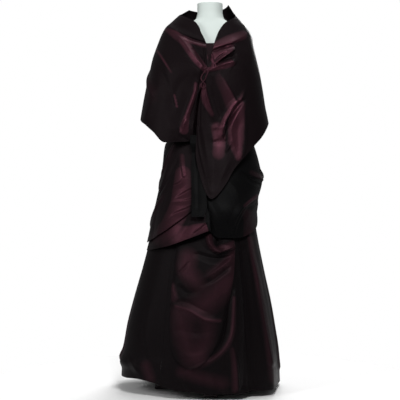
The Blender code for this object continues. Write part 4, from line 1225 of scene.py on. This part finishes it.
def ring_mesh(name, rings):
    """A closed turned form: rings of points from the top down, with a point to close each end."""
    count, around = rings.shape[:2]
    middles = np.stack([rings[0].mean(axis=0), rings[-1].mean(axis=0)])
    points = np.concatenate([rings.reshape(-1, 3), middles])
    index = np.arange(count * around).reshape(count, around)
    ahead = np.roll(index, -1, axis=1)
    sides = np.stack([index[:-1], index[1:], ahead[1:], ahead[:-1]], axis=-1).reshape(-1, 4)
    top = np.stack([index[0], ahead[0], np.full(around, count * around)], axis=-1)
    base = np.stack([ahead[-1], index[-1], np.full(around, count * around + 1)], axis=-1)
    mesh = bpy.data.meshes.new(name)
    mesh.from_pydata(points.tolist(), [], sides.tolist() + top.tolist() + base.tolist())
    mesh.shade_smooth()
    mesh.set_sharp_from_angle(angle=math.radians(SHARP_ANGLE))
    return mesh


def form_rings(step=3.0, rows=150, edge_rows=6):
    """The form's rings, from a flat neck cap with a small round edge down to a flat base."""
    angles = np.arange(0, 360, step)
    edge = np.radians(np.linspace(0, 90, edge_rows))
    heights = np.linspace(FORM[0].height - CAP_EDGE, FORM_BOTTOM, rows)
    around = np.broadcast_to(angles, (len(heights), len(angles)))
    body = place(around, form_skin(around, heights[:, None]), heights[:, None])
    cap_height = FORM[0].height - CAP_EDGE * (1 - np.cos(edge))
    cap_in = CAP_EDGE * (1 - np.sin(edge))
    around = np.broadcast_to(angles, (len(edge), len(angles)))
    radius = form_skin(around, cap_height[:, None]) - cap_in[:, None]
    cap = place(around, radius, cap_height[:, None])
    centre = cap[:1] * np.array([0.5, 0.5, 1.0])
    return np.concatenate([centre, cap[:-1], body])


def lathe(outline, around=48):
    """Rings of a turned piece, from its outline of (radius, height) points, top first."""
    angles = np.linspace(0, 360, around, endpoint=False)
    return np.stack([place(angles, np.full(around, radius), height) for radius, height in outline])


def strand_mesh(name):
    """The slit's rolled edges: an elliptic band along a closed smooth line that crosses itself."""
    table = np.array(SLIT_LOOP, float)
    line = curve_through(np.vstack([table[-2:], table, table[:2]]), LOOP_STEPS)
    line = line[2 * LOOP_STEPS : -2 * LOOP_STEPS - 1]
    near = (VIEW_AWAY - LOOP_REACH) / VIEW_AWAY * FRAME_STEP
    x = VIEW_X + (line[:, 0] - FRAME_MIDDLE) * near
    z = VIEW_Z + (FRAME_MIDDLE - line[:, 1]) * near
    y = -LOOP_REACH - MILLIMETRE * line[:, 2]
    middle = np.stack([x, y, z], axis=-1)
    ahead = np.roll(middle, -1, axis=0) - np.roll(middle, 1, axis=0)
    ahead /= np.linalg.norm(ahead, axis=1, keepdims=True)
    front = np.array([0.0, -1.0, 0.0]) + 0 * ahead
    across = np.cross(ahead, front)
    across /= np.linalg.norm(across, axis=1, keepdims=True)
    section = np.linspace(0, 2 * math.pi, LOOP_AROUND, endpoint=False)[:, None]
    band = middle[:, None] + LOOP_BAND * np.cos(section) * across[:, None]
    band = band + LOOP_FLATNESS * LOOP_BAND * np.sin(section) * np.cross(across, ahead)[:, None]
    index = np.arange(len(line) * len(section)).reshape(len(line), len(section))
    later = np.roll(index, -1, axis=0)
    faces = np.stack([index, later, np.roll(later, -1, axis=1), np.roll(index, -1, axis=1)], axis=-1)
    mesh = bpy.data.meshes.new(name)
    mesh.from_pydata(band.reshape(-1, 3).tolist(), [], faces.reshape(-1, 4).tolist())
    mesh.shade_smooth()
    uv = mesh.uv_layers.new(name=CLOTH_UV)
    corners = np.empty(len(mesh.loops), np.int32)
    mesh.loops.foreach_get("vertex_index", corners)
    along = np.linspace(0, LOOP_LENGTH, len(line))[:, None]
    along = np.stack(np.broadcast_arrays(along, section.ravel() * LOOP_BAND), axis=-1)
    uv.data.foreach_set("uv", along.reshape(-1, 2)[corners].astype(np.float32).ravel())
    shade = mesh.attributes.new(PAINTED_SHADE, "FLOAT", "POINT")
    shade.data.foreach_set("value", np.full(band.shape[0] * band.shape[1], LOOP_PAINTED_SHADE, np.float32))
    return mesh


def piece(name, mesh, material, slot, *nodes):
    """Puts a finished mesh in the scene: it rides on the body and stands for its CAD nodes."""
    mesh.materials.append(material)
    made = bpy.data.objects.new(name, mesh)
    bpy.context.scene.collection.objects.link(made)
    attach(made, BODY)
    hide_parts(*nodes)
    return made


def cloth_piece(name, points, thickness, material, turned=0.0):
    """One cloth piece in the place of its CAD node."""
    mesh = cloth_mesh(name + "_cloth", points, thickness, turned)
    made = piece(name + "_cloth", mesh, material, "taffeta", name)
    return made


def link(tree, start, out, end, into):
    """Joins one node's output to another's input."""
    tree.links.new(start.outputs[out], end.inputs[into])


def math_node(tree, operation, start, out, value=None):
    """A maths node fed by another node, with its second number set."""
    made = tree.nodes.new("ShaderNodeMath")
    made.operation = operation
    link(tree, start, out, made, 0)
    if value is not None:
        made.inputs[1].default_value = value
    return made


def shaded(colour, share=1.0):
    """A colour made lighter or darker by a share, with full alpha."""
    return (*[share * part for part in colour], 1)


def mixed_colour(tree, share, out, first, second):
    """A colour between two, by the share that another node gives."""
    made = tree.nodes.new("ShaderNodeMix")
    made.data_type = "RGBA"
    link(tree, share, out, made, "Factor")
    made.inputs[MIX_FIRST].default_value = first
    made.inputs[MIX_SECOND].default_value = second
    return made


def new_material(name):
    """A new material, with its node tree and its main shader."""
    made = bpy.data.materials.new(name)
    made.use_nodes = True
    return made, made.node_tree, made.node_tree.nodes["Principled BSDF"]


def noise_on(tree, source, out, scale, detail, stretch=(1, 1, 1)):
    """Soft noise on a set of coordinates, stretched along them."""
    mapping = tree.nodes.new("ShaderNodeMapping")
    mapping.inputs["Scale"].default_value = stretch
    link(tree, source, out, mapping, "Vector")
    noise = tree.nodes.new("ShaderNodeTexNoise")
    noise.inputs["Scale"].default_value = scale
    noise.inputs["Detail"].default_value = detail
    link(tree, mapping, "Vector", noise, "Vector")
    return noise


def bumped(tree, height, out, distance, strength, under=None):
    """A bump that another node's value drives, over an earlier bump where there is one."""
    made = tree.nodes.new("ShaderNodeBump")
    made.inputs["Distance"].default_value = distance
    made.inputs["Strength"].default_value = strength
    link(tree, height, out, made, "Height")
    if under is not None:
        link(tree, under, "Normal", made, "Normal")
    return made


def stitched(tree, parts, under):
    """Small stitches sunk into the cloth, in a row inside each sewn edge, over an earlier bump."""
    edge = tree.nodes.new("ShaderNodeAttribute")
    edge.attribute_name = SEWN
    row = math_node(tree, "COMPARE", edge, "Fac", STITCH_IN)
    row.inputs[2].default_value = STITCH_THICK
    along = math_node(tree, "ADD", parts, "X")
    link(tree, parts, "Y", along, 1)
    wave = math_node(tree, "SINE", math_node(tree, "MULTIPLY", along, 0, 2 * math.pi / STITCH_PITCH), 0)
    stitches = math_node(tree, "MULTIPLY", math_node(tree, "GREATER_THAN", wave, 0, STITCH_FROM), 0)
    link(tree, row, 0, stitches, 1)
    made = bumped(tree, stitches, 0, STITCH_DEPTH, 0.8, under)
    made.invert = True
    return made


def taffeta(colours, sizes):
    """Shot taffeta: burgundy threads across near-black ones, crisp, with slubs and a low satin gloss.

    The weave is sin(across) + sin(along) on the cloth's own UV map, in metres. The attribute holds painted
    shade
    and painted highlights: it mixes the near-black and burgundy colours and sets how metallic the cloth is.
    """
    made, tree, shader = new_material(CLOTH_NAME)
    uv = tree.nodes.new("ShaderNodeUVMap")
    uv.uv_map = CLOTH_UV
    parts = tree.nodes.new("ShaderNodeSeparateXYZ")
    link(tree, uv, "UV", parts, "Vector")
    turns = 2 * math.pi / sizes.weave_pitch
    warp = math_node(tree, "SINE", math_node(tree, "MULTIPLY", parts, "X", turns), 0)
    weft = math_node(tree, "SINE", math_node(tree, "MULTIPLY", parts, "Y", turns), 0)
    weave = math_node(tree, "ADD", warp, 0)
    link(tree, weft, 0, weave, 1)
    slubs = noise_on(tree, uv, "UV", 1.0, 3.0, SLUB_GRAIN)
    crumple = noise_on(tree, uv, "UV", 1.0, 4.0, CRUMPLE_GRAIN)
    soft = bumped(tree, crumple, "Fac", CRUMPLE_DEPTH, 0.30)
    rough = bumped(tree, slubs, "Fac", SLUB_DEPTH, 0.30, soft)
    fine = bumped(tree, weave, 0, WEAVE_DEPTH, 0.35, rough)
    link(tree, stitched(tree, parts, fine), "Normal", shader, "Normal")
    # Painted shade and painted highlights: the attribute mixes the burgundy and near-black colours
    dark = tree.nodes.new("ShaderNodeAttribute")
    dark.attribute_name = PAINTED_SHADE
    turned = mixed_colour(tree, dark, "Fac", shaded(colours.lit), shaded(colours.dark))
    streaked = tree.nodes.new("ShaderNodeMix")
    streaked.data_type = "RGBA"
    streaked.blend_type = "MULTIPLY"
    streaked.inputs["Factor"].default_value = SLUB_STREAKS
    link(tree, turned, MIX_RESULT, streaked, MIX_FIRST)
    link(tree, slubs, "Color", streaked, MIX_SECOND)
    link(tree, streaked, MIX_RESULT, shader, "Base Color")
    satin = math_node(tree, "MULTIPLY_ADD", dark, "Fac", SATIN_DARK)
    satin.inputs[2].default_value = SATIN_LIT
    link(tree, satin, 0, shader, "Metallic")
    shader.inputs["Roughness"].default_value = 0.46
    shader.inputs["Specular IOR Level"].default_value = 0.03
    shader.inputs["Sheen Weight"].default_value = 0.014
    shader.inputs["Sheen Roughness"].default_value = 0.5
    shader.inputs["Sheen Tint"].default_value = (0.75, 0.70, 0.74, 1)
    return made


def dress_taffeta(context):
    """The cloth that every piece of the dress shares, made for the first that asks for it."""
    made = bpy.data.materials.get(CLOTH_NAME)
    return made or taffeta(context.scene.dress_colours, context.scene.dress_sizes)


def form_cover(colours):
    """The form's pale cover: matt, with a fine knit and faint mottling."""
    made, tree, shader = new_material("form_cover_knit")
    place_in = tree.nodes.new("ShaderNodeTexCoord")
    knit = noise_on(tree, place_in, "Object", 1400, 2.0, (1, 1, 0.5))
    cloudy = noise_on(tree, place_in, "Object", 14, 3.0)
    link(tree, bumped(tree, knit, "Fac", 0.0002, 0.25), "Normal", shader, "Normal")
    shade = mixed_colour(tree, cloudy, "Fac", shaded(colours.cover), shaded(colours.cover, 0.93))
    link(tree, shade, MIX_RESULT, shader, "Base Color")
    shader.inputs["Roughness"].default_value = 0.6
    return made


def stand_metal(colours):
    """Dark painted metal: satin, with a fine orange peel and rubbed patches."""
    made, tree, shader = new_material("stand_paint")
    place_in = tree.nodes.new("ShaderNodeTexCoord")
    peel = noise_on(tree, place_in, "Object", 420, 2.0)
    rubbed = noise_on(tree, place_in, "Object", 22, 5.0)
    link(tree, bumped(tree, peel, "Fac", 0.0001, 0.3), "Normal", shader, "Normal")
    shade = mixed_colour(tree, rubbed, "Fac", shaded(colours.metal), shaded(colours.metal, 2.2))
    link(tree, shade, MIX_RESULT, shader, "Base Color")
    worn = math_node(tree, "MULTIPLY_ADD", rubbed, "Fac", 0.3)
    worn.inputs[2].default_value = 0.28
    link(tree, worn, 0, shader, "Roughness")
    shader.inputs["Metallic"].default_value = 0.7
    return made


class DressSizes(bpy.types.PropertyGroup):
    """Sizes of the cloth and the stage."""

    dress_cloth: bpy.props.FloatProperty(
        name="Dress cloth",
        description="How thick the shown cloth of the dress is",
        default=0.0010,
        min=0.0003,
        max=0.0020,
        unit="LENGTH",
    )
    stole_cloth: bpy.props.FloatProperty(
        name="Stole cloth",
        description="How thick the shown cloth of the stole is",
        default=0.0009,
        min=0.0003,
        max=0.0015,
        unit="LENGTH",
    )
    weave_pitch: bpy.props.FloatProperty(
        name="Weave pitch",
        description="Distance from thread to thread",
        default=0.0006,
        unit="LENGTH",
    )
    floor_radius: bpy.props.FloatProperty(
        name="Floor",
        description="Radius of the round floor",
        default=0.95,
        unit="LENGTH",
    )


class DressColours(bpy.types.PropertyGroup):
    """Colours of the finishes and the strength of the light."""

    # The burgundy colour painted where highlights fall on the cloth
    lit: bpy.props.FloatVectorProperty(
        name="Burgundy thread",
        description="Colour of the taffeta where it catches the light",
        default=(0.0740, 0.0260, 0.0370),
        subtype="COLOR",
        min=0,
        max=1,
    )
    # The near-black colour, shown wherever no highlight is painted, including the painted shade of the pouf
    # and the stole's end
    dark: bpy.props.FloatVectorProperty(
        name="Dark thread",
        description="Colour of the taffeta where its dark thread shows",
        default=(0.0038, 0.0037, 0.0040),
        subtype="COLOR",
        min=0,
        max=1,
    )
    cover: bpy.props.FloatVectorProperty(
        name="Form cover",
        description="Colour of the dress form's cover",
        default=(0.60, 0.665, 0.635),
        subtype="COLOR",
        min=0,
        max=1,
    )
    metal: bpy.props.FloatVectorProperty(
        name="Stand",
        description="Colour of the stand's paint",
        default=(0.020, 0.015, 0.016),
        subtype="COLOR",
        min=0,
        max=1,
    )
    backdrop: bpy.props.FloatVectorProperty(
        name="Backdrop",
        description="Colour of the floor and of what shows behind it",
        default=(0.93, 0.93, 0.93),
        subtype="COLOR",
        min=0,
        max=1,
    )
    key_power: bpy.props.FloatProperty(
        name="Key light",
        description="Power of the soft light above the camera",
        default=78.0,
        unit="POWER",
    )
    side_power: bpy.props.FloatProperty(
        name="Side light",
        description="Power of the soft light from the front left",
        default=45.0,
        unit="POWER",
    )
    top_power: bpy.props.FloatProperty(
        name="Top light",
        description="Power of the soft light above and behind",
        default=45.0,
        unit="POWER",
    )
    back_power: bpy.props.FloatProperty(
        name="Back light",
        description="Power of the soft light from behind",
        default=60.0,
        unit="POWER",
    )
    fill_light: bpy.props.FloatProperty(
        name="Fill light",
        description="Strength of the even light from all round",
        default=0.20,
        min=0,
    )


def soft_light(name, place_at, aim, side, power):
    """A square area light that faces a point."""
    data = bpy.data.lights.new(name, "AREA")
    data.size = side
    data.energy = power
    made = bpy.data.objects.new(name, data)
    made.location = place_at
    away = np.array(place_at) - np.array(aim)
    flat = math.hypot(away[0], away[1])
    made.rotation_euler = (math.atan2(flat, away[2]), 0, math.atan2(away[1], away[0]) + math.pi / 2)
    bpy.context.scene.collection.objects.link(made)


class STAGE_OT_make(bpy.types.Operator):
    """Make the floor, the soft light, the pale surroundings and the camera."""

    bl_idname = "evening_dress.make_stage"
    bl_label = "Stage"

    def execute(self, context):
        sizes, colours = context.scene.dress_sizes, context.scene.dress_colours
        mesh = bpy.data.meshes.new("floor")
        round_it = np.arange(0, 360, FLOOR_STEP)
        rim = place(-round_it, np.full(len(round_it), sizes.floor_radius), -FLOOR_GAP)
        mesh.from_pydata(rim.tolist(), [], [tuple(range(len(rim)))])
        material, tree, shader = new_material("pale_floor")
        where = tree.nodes.new("ShaderNodeTexCoord")
        faint = noise_on(tree, where, "Object", 3.0, 2.0)
        shade = mixed_colour(tree, faint, "Fac", shaded(colours.backdrop), shaded(colours.backdrop, 0.98))
        link(tree, shade, MIX_RESULT, shader, "Base Color")
        shader.inputs["Roughness"].default_value = 0.9
        mesh.materials.append(material)
        floor = bpy.data.objects.new("floor", mesh)
        context.scene.collection.objects.link(floor)

        world = bpy.data.worlds.new("studio")
        world.use_nodes = True
        tree = world.node_tree
        even = tree.nodes["Background"]
        even.inputs["Color"].default_value = (1, 1, 1, 1)
        even.inputs["Strength"].default_value = colours.fill_light
        behind = tree.nodes.new("ShaderNodeBackground")
        behind.inputs["Color"].default_value = (1, 1, 1, 1)
        behind.inputs["Strength"].default_value = 1.0
        path = tree.nodes.new("ShaderNodeLightPath")
        either = tree.nodes.new("ShaderNodeMixShader")
        link(tree, path, "Is Camera Ray", either, 0)
        link(tree, even, 0, either, 1)
        link(tree, behind, 0, either, 2)
        link(tree, either, 0, tree.nodes["World Output"], "Surface")
        context.scene.world = world
        context.scene.view_settings.view_transform = "Standard"

        for light in LIGHTS:
            soft_light(light.name, light.place, light.aim, light.side, getattr(colours, light.power))

        data = bpy.data.cameras.new("camera")
        data.lens = LENS
        data.sensor_width = SENSOR
        camera = bpy.data.objects.new("camera", data)
        camera.location = (VIEW_X, -VIEW_AWAY, VIEW_Z)
        camera.rotation_euler = (math.radians(90), 0, 0)
        context.scene.collection.objects.link(camera)
        context.scene.camera = camera
        return {"FINISHED"}


class FORM_OT_make(bpy.types.Operator):
    """Make the limbless dress form with its flat neck cap."""

    bl_idname = "evening_dress.make_form"
    bl_label = "Dress form"

    def execute(self, context):
        mesh = ring_mesh("dress_form", form_rings())
        piece("dress_form", mesh, form_cover(context.scene.dress_colours), "form_cover", "form_body")
        return {"FINISHED"}


class STAND_OT_make(bpy.types.Operator):
    """Make the stand: the pole with its flanges, and the flat cross foot."""

    bl_idname = "evening_dress.make_stand"
    bl_label = "Stand"

    def execute(self, context):
        paint = stand_metal(context.scene.dress_colours)
        end = [
            (FLANGE_RADIUS - EDGE, 0),
            (FLANGE_RADIUS, EDGE),
            (FLANGE_RADIUS, FLANGE_THICK - EDGE),
            (FLANGE_RADIUS - EDGE, FLANGE_THICK),
            (POLE_RADIUS + 3 * EDGE, FLANGE_THICK),
            (POLE_RADIUS + EDGE, FLANGE_THICK + EDGE),
            (POLE_RADIUS, FLANGE_THICK + 3 * EDGE),
        ]
        outline = [(radius, FORM_BOTTOM - REST_GAP - deep) for radius, deep in end]
        outline += [(radius, FOOT_THICK + REST_GAP + deep) for radius, deep in end[::-1]]
        piece("pole", ring_mesh("pole", lathe(outline)), paint, "stand_metal", "stand_pole")
        half = FOOT_WIDTH / 2
        cross = np.array(
            [
                (-half, -FOOT_FRONT),
                (half, -FOOT_FRONT),
                (half, -half),
                (FOOT_SIDE, -half),
                (FOOT_SIDE, half),
                (half, half),
                (half, FOOT_BACK),
                (-half, FOOT_BACK),
                (-half, half),
                (-FOOT_SIDE, half),
                (-FOOT_SIDE, -half),
                (-half, -half),
            ]
        )
        count = len(cross)
        points = [(x, y, z) for z in (0.0, FOOT_THICK) for x, y in cross]
        index = np.arange(count)
        ahead = np.roll(index, -1)
        sides = np.stack([index, ahead, ahead + count, index + count], axis=-1)
        mesh = bpy.data.meshes.new("foot")
        mesh.from_pydata(points, [], [*sides.tolist(), (index + count).tolist(), index[::-1].tolist()])
        foot = piece("foot", mesh, paint, "stand_metal", "stand_foot")
        rounding = foot.modifiers.new("rounding", "BEVEL")
        rounding.width = 2 * EDGE
        rounding.segments = 3
        rounding.limit_method = "ANGLE"
        return {"FINISHED"}


class BODICE_OT_make(bpy.types.Operator):
    """Make the strapless bodice: a front and two backs."""

    bl_idname = "evening_dress.make_bodice"
    bl_label = "Bodice"

    def execute(self, context):
        cloth = dress_taffeta(context)
        heights = np.linspace(BODICE_TOP, DROP_WAIST, BODICE_ROWS)[:, None]
        for panel in BODICE_PANELS:
            angles = panel_angles(panel, BODICE_STEP, BODICE_SEAM_RADIUS)
            angle = np.broadcast_to(angles, (len(heights), len(angles)))
            points = place(angle, bodice_skin(angle, heights), heights)
            cloth_piece(panel.name, points, context.scene.dress_sizes.dress_cloth, cloth, BODICE_PLAIN)
        return {"FINISHED"}


class SKIRT_OT_make(bpy.types.Operator):
    """Make the floor-length skirt in five gores."""

    bl_idname = "evening_dress.make_skirt"
    bl_label = "Skirt"

    def execute(self, context):
        cloth = dress_taffeta(context)
        top = DROP_WAIST - SHOWN_SEAM
        for gore in SKIRT_GORES:
            angles = panel_angles(gore, SKIRT_STEP, SKIRT_SEAM_RADIUS)
            angle, height, _ = between_edges(angles, top, angles, skirt_hem(angles), SKIRT_ROWS)
            angle = np.broadcast_to(angle, height.shape)
            points = place(angle, skirt_skin(angle, height), height)
            turned = painted_light_share(points, SKIRT_PAINTED_LIGHTS, SKIRT_ROUND_CREASES, SKIRT_SHARES)
            cloth_piece(gore.name, points, context.scene.dress_sizes.dress_cloth, cloth, turned)
        return {"FINISHED"}


class DRAPES_OT_make(bpy.types.Operator):
    """Make the overskirt: the two layers of the left drape, the right pouf and the front swag."""

    bl_idname = "evening_dress.make_drapes"
    bl_label = "Overskirt"

    def execute(self, context):
        cloth = dress_taffeta(context)
        thick = context.scene.dress_sizes.dress_cloth
        layers = (
            ("drape_left_lower", drape_lower_points(), DRAPE_PAINTED_LIGHTS, DRAPE_ROUND_CREASES, DRAPE_SHARES),
            ("drape_left_upper", drape_upper_points(), DRAPE_PAINTED_LIGHTS, DRAPE_ROUND_CREASES, DRAPE_SHARES),
            ("pouf_right", pouf_points(), POUF_PAINTED_LIGHTS, POUF_ROUND_CREASES, POUF_SHARES),
            ("swag_front", swag_points(), SWAG_PAINTED_LIGHTS, (), SWAG_SHARES),
        )
        for name, points, painted_lights, round_it, shares in layers:
            turned = painted_light_share(points, painted_lights, round_it, shares)
            cloth_piece(name, points, thick, cloth, turned)
        return {"FINISHED"}


class STOLE_OT_make(bpy.types.Operator):
    """Make the stole, its left end and the slit loop that the end is pulled through."""

    bl_idname = "evening_dress.make_stole"
    bl_label = "Stole"

    def execute(self, context):
        cloth = dress_taffeta(context)
        thick = context.scene.dress_sizes.stole_cloth
        points = stole_points()
        turned = painted_light_share(points, STOLE_PAINTED_LIGHTS, STOLE_ROUND_CREASES, STOLE_SHARES)
        cloth_piece("stole", points, thick, cloth, turned)
        # The stole's end takes the near-black colour in full: painted shade, where it hangs in the gap
        # between the stole's panels
        cloth_piece("stole_end", stole_end_points(), thick, cloth, 1.0)
        piece("slit_loop", strand_mesh("slit_loop"), cloth, "taffeta", "stole_loop")
        return {"FINISHED"}


class DRESS_PT_panel(bpy.types.Panel):
    """Lists the pieces of the dress, and the sizes and colours that they are made with."""

    bl_idname = "DRESS_PT_panel"
    bl_label = "Evening dress"
    bl_space_type = "VIEW_3D"
    bl_region_type = "UI"
    bl_category = "Evening dress"

    def draw(self, context):
        for group in (context.scene.dress_sizes, context.scene.dress_colours):
            for name in group.__annotations__:
                self.layout.prop(group, name)
        for operator in OPERATORS:
            self.layout.operator(operator.bl_idname)


OPERATORS = (
    STAGE_OT_make,
    FORM_OT_make,
    STAND_OT_make,
    BODICE_OT_make,
    SKIRT_OT_make,
    DRAPES_OT_make,
    STOLE_OT_make,
)
CLASSES = (DressSizes, DressColours, *OPERATORS, DRESS_PT_panel)


def register():
    """Registers the classes, and hangs the sizes and colours on the scene."""
    for made in CLASSES:
        bpy.utils.register_class(made)
    bpy.types.Scene.dress_sizes = bpy.props.PointerProperty(type=DressSizes)
    bpy.types.Scene.dress_colours = bpy.props.PointerProperty(type=DressColours)


def unregister():
    """Undoes register."""
    del bpy.types.Scene.dress_colours
    del bpy.types.Scene.dress_sizes
    for made in reversed(CLASSES):
        bpy.utils.unregister_class(made)


def main():
    """Makes the stage and the pieces in order."""
    register()
    bpy.ops.evening_dress.make_stage()
    bpy.ops.evening_dress.make_form()
    bpy.ops.evening_dress.make_stand()
    bpy.ops.evening_dress.make_bodice()
    bpy.ops.evening_dress.make_skirt()
    bpy.ops.evening_dress.make_drapes()
    bpy.ops.evening_dress.make_stole()


if __name__ == "__main__":
    main()
